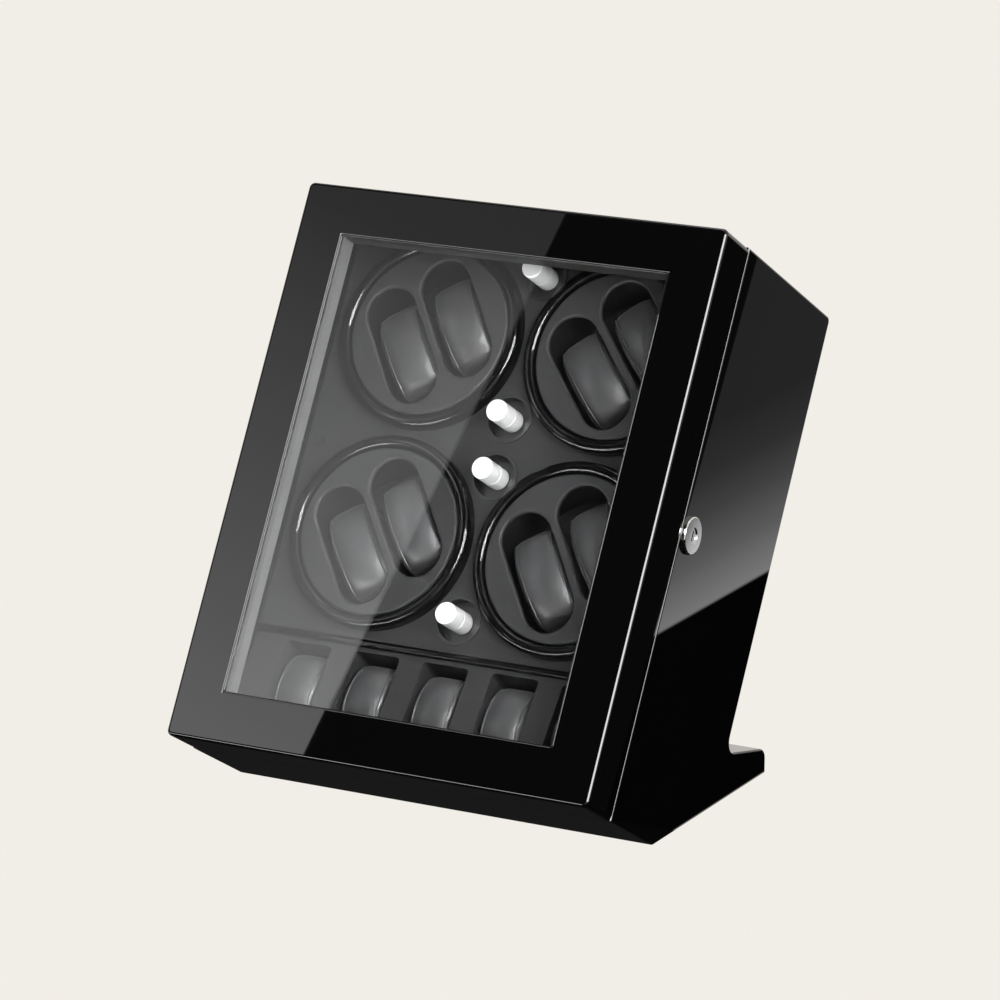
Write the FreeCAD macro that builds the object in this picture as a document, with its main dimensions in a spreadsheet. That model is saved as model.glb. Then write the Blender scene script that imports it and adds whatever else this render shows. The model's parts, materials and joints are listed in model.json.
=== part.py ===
import FreeCAD, Part
import math
import os
import re
import Sketcher
from FreeCAD import Placement, Rotation, Vector

# Leaning watch winder box: lacquered cabinet, glazed door, four turntables and a tray of pockets.
# Leaning frame: x to the right, y from the door's face into the box, z up along the door.
# The whole box leans back about x and stands on its base, with the base's centre at the origin.

SIZES = (
    ("door_width", 310, "width of door and cabinet"),
    ("door_height", 384, "height of the door along its slope"),
    ("door_depth", 38, "door face to cabinet front"),
    ("door_gap", 0.6, "gap between door and cabinet"),
    ("door_corner", 4, "corner radius of the door"),
    ("edge_round", 1.6, "rounding of lacquered edges"),
    ("face_round", 2.4, "rounding round the door's face"),
    ("cabinet_depth", 146, "cabinet behind the door"),
    ("wall", 11, "thickness of the cabinet panels"),
    ("back_thickness", 12, "thickness of the back panel"),
    ("lean", 30, "backward lean in degrees"),
    ("ground_reach", 107, "door face to the ground corner along the underside"),
    ("ground_round", 7, "rounding of the ground corner"),
    ("base_length", 167, "length of the base on the ground"),
    ("base_lap", 8, "base block in front of the ground corner"),
    ("foot_height", 17, "height of the foot lip at its rear end"),
    ("foot_slope", 13, "slope of the foot lip in degrees"),
    ("foot_round", 8, "rounding of the foot nose"),
    ("notch_round", 9, "cove between back and foot"),
    ("back_round", 4, "rounding of the top rear edge"),
    ("felt_thickness", 1.5, "base felt"),
    ("felt_inset", 6, "base felt behind the base outline"),
    ("frame_border", 34, "width of the door bars round the window"),
    ("pane_lip", 4, "lip that covers the edge of the pane"),
    ("lip_depth", 1.6, "thickness of that lip"),
    ("lip_chamfer", 0.8, "bevel round the window"),
    ("bar_depth", 20, "depth of the door bars at the window"),
    ("skirt", 22, "width of the door's rim behind the bars"),
    ("pane_thickness", 4, "window pane"),
    ("seat_clearance", 0.2, "clearance of pieces set into openings"),
    ("panel_setback", 66, "door face to inner panel"),
    ("panel_thickness", 4, "inner panel"),
    ("panel_bottom", 95, "lower edge of the inner panel"),
    ("rail_height", 5.5, "rounded rail under the inner panel"),
    ("rail_proud", 3, "rail in front of the inner panel"),
    ("rail_depth", 12, "depth of the rail"),
    ("rotor_rise", 2.5, "turntable group above the middle of the inner panel"),
    ("rotor_inset", 4.2, "turntable pitch under half the inner width"),
    ("rotor_spread", 0.2, "turntable pitch over half the inner panel's height"),
    ("rest_angle_one", 33, "slot lean, upper left turntable"),
    ("rest_angle_two", 41, "slot lean, upper right turntable"),
    ("rest_angle_three", 34, "slot lean, lower left turntable"),
    ("rest_angle_four", 33, "slot lean, lower right turntable"),
    ("disc_margin", 24.2, "turntable pitch over the disc"),
    ("disc_thickness", 3, "turntable disc"),
    ("disc_proud", 9, "disc face in front of the inner panel"),
    ("slot_length_share", 0.748, "pillow slot in parts of the disc"),
    ("slot_width_share", 0.313, "pillow slot in parts of the disc"),
    ("slot_offset_share", 0.1826, "slot centre from the disc centre, in parts of the disc"),
    ("slot_round", 1.8, "rounding of the slot mouth"),
    ("bezel_clearance", 0.6, "disc to bezel ring"),
    ("bezel_width", 8.4, "bezel ring"),
    ("bezel_proud", 10.5, "bezel ring in front of the inner panel"),
    ("bezel_round", 4, "rounding of the bezel ring"),
    ("bezel_seat", 2.5, "panel opening outside the bezel bore"),
    ("cup_inset", 3, "cup inside the disc, all round"),
    ("cup_wall", 2, "cup"),
    ("cup_depth", 48, "cup"),
    ("axle_diameter", 8, "turntable axle"),
    ("bush_clearance", 0.05, "axle in its bush, all round"),
    ("bush_wall", 3, "bearing bush"),
    ("bush_flange", 2, "flange of the bearing bush, width and thickness"),
    ("pulley_inset", 17.5, "turntable pulley inside the disc, all round"),
    ("pulley_width", 7, "turntable and motor pulleys"),
    ("groove_depth", 3, "belt groove"),
    ("flange_width", 1.5, "pulley flanges"),
    ("belt_clearance", 0.3, "belt to pulley"),
    ("belt_thickness", 1.6, "flat drive belt"),
    ("plate_gap", 1.5, "pulley to drive plate"),
    ("plate_thickness", 4, "drive plate"),
    ("motor_pulley_diameter", 16, "motor pulley"),
    ("motor_inward", 46, "motor axis from the turntable axis, across"),
    ("motor_toward", 36, "motor axis from the turntable axis, along the slope"),
    ("motor_diameter", 25, "gear motor"),
    ("motor_length", 34, "gear motor"),
    ("gearhead_length", 12, "front section of the gear motor"),
    ("motor_step", 1.5, "gear head wider than the motor, all round"),
    ("shaft_diameter", 4, "motor shaft"),
    ("shaft_clearance", 0.1, "motor shaft in the gear head"),
    ("shaft_hole", 10, "hole for the shaft in the drive plate"),
    ("knob_diameter", 15, "mode knob"),
    ("knob_proud", 20, "knob face in front of the inner panel"),
    ("knob_groove", 0.8, "groove round the knob, width and depth"),
    ("knob_groove_setback", 14, "knob face to its groove"),
    ("knob_round", 1, "rounding of the knob face"),
    ("knob_inset", 19.9, "knob spacing under half the turntable pitch"),
    ("well_diameter", 29, "knob well"),
    ("well_depth", 9, "knob well"),
    ("well_wall", 1.2, "knob well"),
    ("rim_width", 1.2, "rim of the well on the panel"),
    ("rim_height", 0.8, "rim of the well on the panel"),
    ("knob_floor_gap", 1, "knob to the floor of its well"),
    ("spindle_diameter", 6, "knob spindle"),
    ("spindle_clearance", 0.1, "spindle in the switch bush"),
    ("switch_bush_wall", 1.5, "switch bush"),
    ("switch_width", 17, "rotary switch"),
    ("switch_depth", 10, "rotary switch"),
    ("tray_tilt", 11, "extra lean of the pocket tray in degrees"),
    ("tray_height", 64, "pocket tray along its face"),
    ("tray_depth", 42, "pocket tray"),
    ("pocket_pitch", 51.6, "storage pockets"),
    ("pocket_width", 34, "storage pockets"),
    ("pocket_height", 58, "storage pockets"),
    ("pocket_depth", 38, "storage pockets"),
    ("pocket_top", 3, "tray top to pocket"),
    ("pocket_round", 3, "corner radius of the pockets"),
    ("store_length", 55, "storage pillow along the slope"),
    ("store_width", 31, "storage pillow"),
    ("store_depth", 35, "storage pillow"),
    ("store_crown", 9, "rise of the storage pillow's face"),
    ("pillow_end_gap", 9.5, "slot end to the turntable pillow"),
    ("pillow_side_gap", 1.5, "slot side to the turntable pillow"),
    ("pillow_proud", -2.5, "pillow face in front of the disc, behind it when negative"),
    ("pillow_crown", 9, "rise of the turntable pillow's face"),
    ("pillow_edge", 4, "rounded side edge of a pillow"),
    ("pillow_draw", 1, "how far a pillow's ends draw in"),
    ("leaf_length", 50, "hinge"),
    ("leaf_width", 12, "hinge leaf"),
    ("leaf_thickness", 1.2, "hinge leaf"),
    ("knuckle_radius", 3, "hinge"),
    ("knuckle_clearance", 0.2, "hinge barrel to the side of the box"),
    ("pin_diameter", 2.6, "hinge pin"),
    ("pin_clearance", 0.05, "pin in the knuckles, all round"),
    ("knuckle_gap", 0.3, "between knuckles"),
    ("hinge_inset", 62, "hinge centre from the top and bottom of the door"),
    ("lock_height", 193, "lock centre along the slope"),
    ("lock_setback", 52, "door face to lock centre"),
    ("lock_diameter", 25, "lock bezel"),
    ("lock_proud", 2.6, "lock bezel in front of the side"),
    ("lock_round", 0.9, "rounding of the lock bezel"),
    ("barrel_diameter", 17, "lock barrel"),
    ("barrel_tail", 5.5, "lock barrel behind the side panel"),
    ("plug_diameter", 11, "lock plug"),
    ("plug_clearance", 0.1, "plug in the barrel, all round"),
    ("plug_recess", 0.8, "plug face behind the bezel face"),
    ("key_slot_length", 7, "key slot"),
    ("key_slot_width", 1.4, "key slot"),
    ("key_slot_depth", 8, "key slot"),
    ("nut_width", 24, "lock nut across flats"),
    ("nut_thickness", 4, "lock nut"),
    ("cam_length", 12.5, "lock cam beyond its axis"),
    ("cam_width", 6, "lock cam"),
    ("cam_thickness", 2, "lock cam"),
    ("cam_gap", 0.5, "barrel to cam"),
    ("keeper_gap", 0.8, "cam to keeper hook"),
    ("keeper_thickness", 1.5, "keeper strip"),
    ("keeper_width", 4, "keeper strip"),
    ("keeper_foot", 16, "keeper plate on the door"),
    ("keeper_lip", 6, "lip of the keeper hook"),
    ("board_width", 100, "control board"),
    ("board_height", 46, "control board"),
    ("board_thickness", 1.6, "control board"),
    ("board_bottom", 106, "lower edge of the control board"),
    ("spacer_height", 8, "board spacers"),
    ("spacer_diameter", 6, "board spacers"),
    ("spacer_inset", 6, "spacer axis from the board's edges"),
    ("inlet_diameter", 12, "power inlet barrel"),
    ("inlet_flange", 2, "flange of the power inlet, width and thickness"),
    ("inlet_bore", 5.6, "power inlet socket"),
    ("inlet_bore_depth", 9, "power inlet socket"),
    ("inlet_tail", 6, "power inlet behind the back panel"),
    ("inlet_inset", 55, "power inlet from the side of the box"),
    ("inlet_height", 118, "power inlet along the slope"),
)

# Sizes that follow from others, so that the turntables fill whatever cabinet holds them

DERIVED = (
    ("panel_rise", "door_height - wall - panel_bottom", "inner panel along the slope"),
    ("rotor_height", "panel_bottom + panel_rise / 2 + rotor_rise", "centre of the turntable group"),
    ("rotor_pitch_across", "door_width / 2 - wall - rotor_inset", "turntable pitch across"),
    ("rotor_pitch_up", "panel_rise / 2 + rotor_spread", "turntable pitch along the slope"),
    ("disc_diameter", "min(rotor_pitch_across; rotor_pitch_up) - disc_margin", "turntable disc"),
    ("slot_length", "disc_diameter * slot_length_share", "pillow slot"),
    ("slot_width", "disc_diameter * slot_width_share", "pillow slot"),
    ("slot_offset", "disc_diameter * slot_offset_share", "slot centre from the disc centre"),
    ("cup_diameter", "disc_diameter - 2 * cup_inset", "cup behind the disc"),
    ("pulley_diameter", "disc_diameter - 2 * pulley_inset", "turntable pulley"),
    ("knob_spacing", "rotor_pitch_up / 2 - knob_inset", "knob from the centre of its turntable row"),
    ("pillow_length", "slot_length - 2 * pillow_end_gap", "turntable pillow along its slot"),
    ("pillow_width", "slot_width - 2 * pillow_side_gap", "turntable pillow"),
    ("pillow_depth", "disc_thickness + cup_depth - cup_wall + pillow_proud", "turntable pillow"),
)

doc = FreeCAD.newDocument("watch_winder")
sheet = doc.addObject("Spreadsheet::Sheet", "dims")
for row, (alias, size, note) in enumerate(SIZES + DERIVED, 1):
    sheet.set("A%d" % row, note)
    sheet.set("B%d" % row, "=" + str(size))
    sheet.setAlias("B%d" % row, alias)
ALIASES = {alias for alias, size, note in SIZES + DERIVED}
doc.recompute()
WORD = re.compile(r"[a-z][a-z_]*")
sub_parts = []


def expression(text):
    """Expression text with every size name pointing at its cell."""
    return WORD.sub(lambda m: "dims." + m.group() if m.group() in ALIASES else m.group(), text)


def value(text):
    """Number that an expression has now."""
    return float(sheet.evalExpression(expression(text)))


def bind(item, prop, text):
    """Tie a property to the sheet."""
    item.setExpression(prop, expression(text))


def place(item, x="0", y="0", z="0", tilt="0"):
    """Set an object at a point of the leaning frame."""
    item.Placement = Placement(Vector(), Rotation(Vector(1, 0, 0), -value("lean")))
    depth = "(%s) * cos(lean) + (%s) * sin(lean) - ground_reach * cos(lean) - base_length / 2" % (y, z)
    height = "(%s) * cos(lean) - (%s) * sin(lean) + ground_reach * sin(lean) + felt_thickness" % (z, y)
    bind(item, ".Placement.Base.x", x)
    bind(item, ".Placement.Base.y", depth)
    bind(item, ".Placement.Base.z", height)
    bind(item, ".Placement.Rotation.Angle", "-(lean + %s)" % tilt)
    return item


def new_body(label, x="0", y="0", z="0", tilt="0", part=True):
    """Body placed in the leaning frame, listed as a sub-part unless it is a pattern."""
    item = doc.addObject("PartDesign::Body", label)
    item.Label = label
    if part:
        sub_parts.append(item)
    return place(item, x, y, z, tilt)


def new_sketch(body, plane, offset="0"):
    """Sketch on one of the body's own planes, moved along that plane's axis."""
    sketch = body.newObject("Sketcher::SketchObject", body.Name + "_sketch")
    planes = {item.Role: item for item in body.Origin.OriginFeatures}
    sketch.AttachmentSupport = [(planes[plane + "_Plane"], "")]
    sketch.MapMode = "FlatFace"
    bind(sketch, ".AttachmentOffset.Base.z", ("-(%s)" if plane == "XZ" else "%s") % offset)
    return sketch


def pin_point(sketch, geometry, end, point):
    """Fix a point of the sketch at two expressions."""
    for kind, text in zip(("DistanceX", "DistanceY"), point):
        index = sketch.addConstraint(Sketcher.Constraint(kind, -1, 1, geometry, end, value(text)))
        sketch.setExpression("Constraints[%d]" % index, expression(text))


def polygon(sketch, points):
    """Closed outline whose corners are expressions."""
    corners = [Vector(value(a), value(b), 0) for a, b in points]
    first = sketch.GeometryCount
    count = len(corners)
    for i in range(count):
        sketch.addGeometry(Part.LineSegment(corners[i], corners[(i + 1) % count]), False)
    for i in range(count):
        sketch.addConstraint(Sketcher.Constraint("Coincident", first + i, 2, first + (i + 1) % count, 1))
        pin_point(sketch, first + i, 1, points[i])
    return sketch


def rectangle(sketch, left, right, low, high):
    """Rectangle between four expressions."""
    return polygon(sketch, [(left, low), (right, low), (right, high), (left, high)])


def circle(sketch, across, up, diameter):
    """Circle with its centre and diameter from expressions."""
    centre = Vector(value(across), value(up), 0)
    index = sketch.addGeometry(Part.Circle(centre, Vector(0, 0, 1), value(diameter) / 2), False)
    pin_point(sketch, index, 3, (across, up))
    limit = sketch.addConstraint(Sketcher.Constraint("Diameter", index, value(diameter)))
    sketch.setExpression("Constraints[%d]" % limit, expression(diameter))
    return sketch


def loop(sketch, first, first_radius, second, second_radius):
    """Two arcs joined by their outer tangents: a slot, or a belt round two pulleys."""
    a, b = (Vector(value(p), value(q), 0) for p, q in (first, second))
    ra, rb = value(first_radius), value(second_radius)
    heading = math.atan2(b.y - a.y, b.x - a.x)
    spread = math.acos((ra - rb) / (b - a).Length)
    up, down = heading + spread, heading - spread
    turn = 2 * math.pi
    arc_a = Part.ArcOfCircle(Part.Circle(a, Vector(0, 0, 1), ra), up, down + turn)
    arc_b = Part.ArcOfCircle(Part.Circle(b, Vector(0, 0, 1), rb), down, up)
    line_low = Part.LineSegment(arc_a.EndPoint, arc_b.StartPoint)
    line_high = Part.LineSegment(arc_b.EndPoint, arc_a.StartPoint)
    base = sketch.GeometryCount
    sketch.addGeometry([arc_a, line_low, arc_b, line_high], False)
    for i in range(4):
        sketch.addConstraint(Sketcher.Constraint("Tangent", base + i, 2, base + (i + 1) % 4, 1))
    pin_point(sketch, base, 3, first)
    pin_point(sketch, base + 2, 3, second)
    for index, text in ((base, first_radius), (base + 2, second_radius)):
        limit = sketch.addConstraint(Sketcher.Constraint("Radius", index, value(text)))
        sketch.setExpression("Constraints[%d]" % limit, expression(text))
    return sketch


def pad(body, sketch, length, flip=False, middle=False):
    """Extrude a sketch; a sketch on XZ is flipped to grow into the box."""
    item = body.newObject("PartDesign::Pad", body.Name + "_pad")
    item.Profile = sketch
    bind(item, "Length", length)
    item.Reversed = flip
    item.Midplane = middle
    doc.recompute()
    return item


def pocket(body, sketch, length, flip=False):
    """Cut a sketch out of the body."""
    item = body.newObject("PartDesign::Pocket", body.Name + "_pocket")
    item.Profile = sketch
    bind(item, "Length", length)
    item.Reversed = flip
    doc.recompute()
    return item


def revolve(body, sketch):
    """Turn a sketch about its horizontal axis."""
    item = body.newObject("PartDesign::Revolution", body.Name + "_turn")
    item.Profile = sketch
    item.ReferenceAxis = (sketch, ["H_Axis"])
    item.Angle = 360
    doc.recompute()
    return item


def soften(body, radius, pick, kind="Fillet"):
    """Round or bevel the picked edges of the body's last feature."""
    base = body.Tip
    names = ["Edge%d" % (i + 1) for i, edge in enumerate(base.Shape.Edges) if pick(edge.BoundBox)]
    item = body.newObject("PartDesign::" + kind, body.Name + "_" + kind.lower())
    item.Base = (base, names)
    bind(item, "Radius" if kind == "Fillet" else "Size", radius)
    doc.recompute()
    return item


def near(a, b):
    """Same place, within modelling tolerance."""
    return abs(a - b) < 1e-4


def across_at(points):
    """Picks edges that run across the box at the given side-view points."""
    spots = [(value(a), value(b)) for a, b in points]

    def pick(box):
        flat = near(box.YMin, box.YMax) and near(box.ZMin, box.ZMax)
        return flat and any(near(box.YMin, y) and near(box.ZMin, z) for y, z in spots)
    return pick


def on_plane(axis, text):
    """Picks edges that lie in one plane."""
    spot = value(text)

    def pick(box):
        return near(getattr(box, axis + "Min"), spot) and near(getattr(box, axis + "Max"), spot)
    return pick


def group(label, pattern, places):
    """One sub-part made of equal pieces at several places."""
    links = []
    for spot in places:
        link = doc.addObject("App::Link", label + "_link")
        link.LinkedObject = pattern
        links.append(place(link, *spot))
    item = doc.addObject("Part::Compound", label)
    item.Label = label
    item.Links = links
    sub_parts.append(item)
    return item


HALF = "door_width / 2"
INNER = "(door_width / 2 - wall)"
BACK = "(door_depth + cabinet_depth)"
DOOR_REAR = "(door_depth - door_gap)"
BASE_FRONT = "(ground_reach - base_lap)"


def ground(along, above):
    """Side-view point given by its distance along and above the ground."""
    return ("ground_reach + (%s) * cos(lean) - (%s) * sin(lean)" % (along, above),
            "(%s) * sin(lean) + (%s) * cos(lean)" % (along, above))


def foot_top(y):
    """Side-view point of the sloping foot top at one depth."""
    reach = "((%s - ground_reach + (foot_height + base_length * tan(foot_slope)) * sin(lean))" \
            " / (cos(lean) + tan(foot_slope) * sin(lean)))" % y
    return y, ground(reach, "foot_height + (base_length - %s) * tan(foot_slope)" % reach)[1]


GROUND_FRONT = ground("0", "0")
GROUND_REAR = ground("base_length", "0")
FOOT_REAR = ground("base_length", "foot_height")
HINGE_HEIGHTS = ("hinge_inset", "(door_height - hinge_inset)")

# Cabinet panels


def side_panel(label, start):
    """Cabinet side with the leaning front, the flat base and the foot lip."""
    body = new_body(label)
    outline = [("door_depth", "0"), ("door_depth", "door_height"), (BACK, "door_height"),
               foot_top(BACK), FOOT_REAR, GROUND_REAR, GROUND_FRONT]
    pad(body, polygon(new_sketch(body, "YZ", start), outline), "wall")
    soften(body, "ground_round", across_at([GROUND_FRONT]))
    soften(body, "notch_round", across_at([foot_top(BACK)]))
    soften(body, "foot_round", across_at([FOOT_REAR]))
    soften(body, "back_round", across_at([(BACK, "door_height")]))
    return body


left = side_panel("side_panel_left", "-" + HALF)
soften(left, "edge_round", on_plane("X", "-" + HALF))
for height in HINGE_HEIGHTS:
    mortise = rectangle(new_sketch(left, "XZ", "door_depth"), "-" + HALF, "-%s + leaf_width" % HALF,
                        height + " - leaf_length / 2", height + " + leaf_length / 2")
    pocket(left, mortise, "leaf_thickness")

right = side_panel("side_panel_right", INNER)
soften(right, "edge_round", on_plane("X", HALF))
hole = circle(new_sketch(right, "YZ", HALF), "lock_setback", "lock_height",
              "barrel_diameter + 2 * seat_clearance")
pocket(right, hole, "wall")


def cross_panel(label, outline):
    """Panel that runs between the two sides."""
    body = new_body(label)
    pad(body, polygon(new_sketch(body, "YZ"), outline), "2 * " + INNER, middle=True)
    return body


top = cross_panel("top_panel", [("door_depth", "door_height - wall"), (BACK, "door_height - wall"),
                                (BACK, "door_height"), ("door_depth", "door_height")])
soften(top, "back_round", across_at([(BACK, "door_height")]))

cross_panel("underside_panel", [("door_depth", "0"), (BASE_FRONT, "0"), (BASE_FRONT, "wall"),
                                ("door_depth", "wall")])

base = cross_panel("base_block", [(BASE_FRONT, "0"), GROUND_FRONT, GROUND_REAR, FOOT_REAR,
                                  foot_top("(%s - back_thickness)" % BACK), (BASE_FRONT, "wall")])
soften(base, "ground_round", across_at([GROUND_FRONT]))
soften(base, "foot_round", across_at([FOOT_REAR]))

back = cross_panel("back_panel", [foot_top("(%s - back_thickness)" % BACK), foot_top(BACK),
                                  (BACK, "door_height - wall"),
                                  (BACK + " - back_thickness", "door_height - wall")])
inlet_hole = circle(new_sketch(back, "XZ", BACK), "door_width / 2 - inlet_inset", "inlet_height",
                    "inlet_diameter + 2 * seat_clearance")
pocket(back, inlet_hole, "back_thickness", flip=True)

felt = doc.addObject("Part::Box", "base_felt")
felt.Label = "base_felt"
bind(felt, "Length", "door_width - 2 * felt_inset")
bind(felt, "Width", "base_length - 2 * felt_inset")
bind(felt, "Height", "felt_thickness")
bind(felt, ".Placement.Base.x", "felt_inset - door_width / 2")
bind(felt, ".Placement.Base.y", "felt_inset - base_length / 2")
sub_parts.append(felt)

# Inner panel, bezel rings and tray rail

ROTORS = []
for number, (word, side, level) in enumerate((("one", -1, 1), ("two", 1, 1), ("three", -1, -1),
                                              ("four", 1, -1)), 1):
    ROTORS.append((number, "%d * rotor_pitch_across / 2" % side,
                   "(rotor_height + %d * rotor_pitch_up / 2)" % level, "rest_angle_" + word,
                   "(-%d * motor_inward)" % side, "(-%d * motor_toward)" % level))
KNOBS = ["(rotor_height + %d * rotor_pitch_up / 2 + %d * knob_spacing)" % (level, step)
         for level in (1, -1) for step in (1, -1)]
BEZEL_BORE = "(disc_diameter + 2 * bezel_clearance)"
WELL_OUTER = "(well_diameter + 2 * well_wall)"
PANEL_TOP = "(door_height - wall)"

panel = new_body("inner_panel")
face = rectangle(new_sketch(panel, "XZ", "panel_setback"), "-" + INNER, INNER, "panel_bottom", PANEL_TOP)
for number, x, z, angle, motor_x, motor_z in ROTORS:
    circle(face, x, z, BEZEL_BORE + " + 2 * bezel_seat")
for z in KNOBS:
    circle(face, "0", z, WELL_OUTER + " + 2 * seat_clearance")
pad(panel, face, "panel_thickness", flip=True)

ring = new_body("bezel_ring", part=False)
rectangle(new_sketch(ring, "YZ"), "-bezel_proud", "0", BEZEL_BORE + " / 2",
          BEZEL_BORE + " / 2 + bezel_width")
revolve(ring, ring.Group[-1])
soften(ring, "bezel_round", on_plane("Y", "-bezel_proud"))
group("bezel_rings", ring, [(x, "panel_setback", z) for number, x, z, *rest in ROTORS])

rail = new_body("divider_rail")
strip = rectangle(new_sketch(rail, "YZ"), "panel_setback - rail_proud",
                  "panel_setback - rail_proud + rail_depth", "panel_bottom - rail_height", "panel_bottom")
pad(rail, strip, "2 * " + INNER, middle=True)
soften(rail, "rail_height * 0.45", on_plane("Y", "panel_setback - rail_proud"))

# Pillows


def pillow(length, width, depth, crown, edge, draw):
    """Closed pillow: flat rear, crowned face, rounded sides and ends that draw in."""
    sections = []
    for share, drop, shrink in ((-1, edge, edge), (-0.5, edge / 4, edge / 6), (0, 0, draw),
                                (0.5, edge / 4, edge / 6), (1, edge, edge)):
        x = share * width / 2
        half = length / 2 - shrink
        shoulder = half * 0.86
        rise = drop + crown
        rear = [Vector(x, depth, half * 0.92), Vector(x, depth, -half * 0.92)]
        waist = [Vector(x, rise + depth * 0.22, half), Vector(x, rise + depth * 0.22, -half)]
        front = [Vector(x, rise * 0.75 + drop * 0.25, shoulder),
                 Vector(x, rise * 0.75 + drop * 0.25, -shoulder)]
        bulge = half - 0.015 * length
        corner = Vector(x, rise + depth * 0.03, half * 0.965)
        edges = [
            Part.LineSegment(rear[1], rear[0]),
            Part.Arc(rear[0], Vector(x, depth * 0.7, bulge), waist[0]),
            Part.Arc(waist[0], corner, front[0]),
            Part.Arc(front[0], Vector(x, drop, 0), front[1]),
            Part.Arc(front[1], Vector(x, corner.y, -corner.z), waist[1]),
            Part.Arc(waist[1], Vector(x, depth * 0.7, -bulge), rear[1]),
        ]
        sections.append(Part.Wire([item.toShape() for item in edges]))
    return Part.makeLoft(sections, True, False)


def soft_part(label, shapes, spot):
    """Sub-part made of pillow shapes."""
    item = doc.addObject("Part::Feature", label)
    item.Label = label
    item.Shape = Part.makeCompound(shapes)
    sub_parts.append(item)
    return place(item, *spot)


# Pocket tray

TRAY = ("0", "panel_setback", "(panel_bottom - rail_height)", "tray_tilt")
tray = new_body("storage_tray", *TRAY)
block = rectangle(new_sketch(tray, "XZ"), "-" + INNER, INNER, "-tray_height", "0")
pad(tray, block, "tray_depth", flip=True)
cells = new_sketch(tray, "XZ")
for step in range(-2, 3):
    middle = "%d * pocket_pitch" % step
    rectangle(cells, middle + " - pocket_width / 2", middle + " + pocket_width / 2",
              "-pocket_top - pocket_height", "-pocket_top")
pocket(tray, cells, "pocket_depth")


def pocket_corner(box):
    """Picks the pocket edges that run into the tray."""
    deep = near(box.XMin, box.XMax) and near(box.ZMin, box.ZMax)
    return deep and near(box.YMax - box.YMin, value("pocket_depth"))


soften(tray, "pocket_round", pocket_corner)

for number in range(1, 6):
    spare = pillow(*(value(text) for text in ("store_length", "store_width", "store_depth",
                                              "store_crown", "pillow_edge", "pillow_draw")))
    low = value("-pocket_top - pocket_height + store_length / 2") + value("pillow_edge") / 4
    spare.translate(Vector((number - 3) * value("pocket_pitch"), value("pocket_depth - store_depth"), low))
    soft_part("storage_pillow_%d" % number, [spare], TRAY)

# Turntables and their drive

DISC_BACK = "(disc_thickness - disc_proud)"
CUP_BACK = "(disc_thickness - disc_proud + cup_depth)"
PULLEY_BACK = "(disc_thickness - disc_proud + cup_depth + pulley_width)"
PLATE_FRONT = "(disc_thickness - disc_proud + cup_depth + pulley_width + plate_gap)"
PLATE_BACK = "(disc_thickness - disc_proud + cup_depth + pulley_width + plate_gap + plate_thickness)"
GROOVE_FRONT = CUP_BACK + " + flange_width"
GROOVE_REAR = PULLEY_BACK + " - flange_width"


def grooved(diameter):
    """Pulley rim with its belt groove, from front flange to rear flange."""
    rim, floor = diameter + " / 2", diameter + " / 2 - groove_depth"
    return [(CUP_BACK, rim), (GROOVE_FRONT, rim), (GROOVE_FRONT, floor), (GROOVE_REAR, floor),
            (GROOVE_REAR, rim), (PULLEY_BACK, rim)]


for number, x, z, angle, motor_x, motor_z in ROTORS:
    spot = (x, "panel_setback", z)

    disc = new_body("rotor_disc_%d" % number, *spot)
    outline = circle(new_sketch(disc, "XZ", "-disc_proud"), "0", "0", "disc_diameter")
    for side in (1, -1):
        ends = [("%d * slot_offset * cos(%s) - %d * (slot_length - slot_width) / 2 * sin(%s)"
                 % (side, angle, end, angle),
                 "%d * slot_offset * sin(%s) + %d * (slot_length - slot_width) / 2 * cos(%s)"
                 % (side, angle, end, angle)) for end in (1, -1)]
        loop(outline, ends[0], "slot_width / 2", ends[1], "slot_width / 2")
    pad(disc, outline, "disc_thickness", flip=True)
    soften(disc, "slot_round", on_plane("Y", "-disc_proud"))

    cup = new_body("rotor_cup_%d" % number, *spot)
    polygon(new_sketch(cup, "YZ"), [
        (DISC_BACK, "cup_diameter / 2 - cup_wall"), (DISC_BACK, "cup_diameter / 2"),
        (CUP_BACK, "cup_diameter / 2"), (CUP_BACK, "0"), (CUP_BACK + " - cup_wall", "0"),
        (CUP_BACK + " - cup_wall", "cup_diameter / 2 - cup_wall")])
    revolve(cup, cup.Group[-1])

    pulley = new_body("rotor_pulley_%d" % number, *spot)
    tail = PLATE_BACK + " + bush_flange + 2"
    polygon(new_sketch(pulley, "YZ"), [(CUP_BACK, "0")] + grooved("pulley_diameter") + [
        (PULLEY_BACK, "axle_diameter / 2"), (tail, "axle_diameter / 2"), (tail, "0")])
    revolve(pulley, pulley.Group[-1])

    pair = []
    for side in (1, -1):
        cushion = pillow(*(value(text) for text in ("pillow_length", "pillow_width", "pillow_depth",
                                                    "pillow_crown", "pillow_edge", "pillow_draw")))
        cushion.translate(Vector(side * value("slot_offset"), value(CUP_BACK + " - cup_wall - pillow_depth"), 0))
        cushion.rotate(Vector(), Vector(0, 1, 0), -value(angle))
        pair.append(cushion)
    soft_part("rotor_pillows_%d" % number, pair, spot)

    drive = new_body("motor_pulley_%d" % number, x + " + " + motor_x, "panel_setback", z + " + " + motor_z)
    shaft_end = PLATE_BACK + " + gearhead_length - 2"
    polygon(new_sketch(drive, "YZ"), [(CUP_BACK, "0")] + grooved("motor_pulley_diameter") + [
        (PULLEY_BACK, "shaft_diameter / 2"), (shaft_end, "shaft_diameter / 2"), (shaft_end, "0")])
    revolve(drive, drive.Group[-1])

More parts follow.
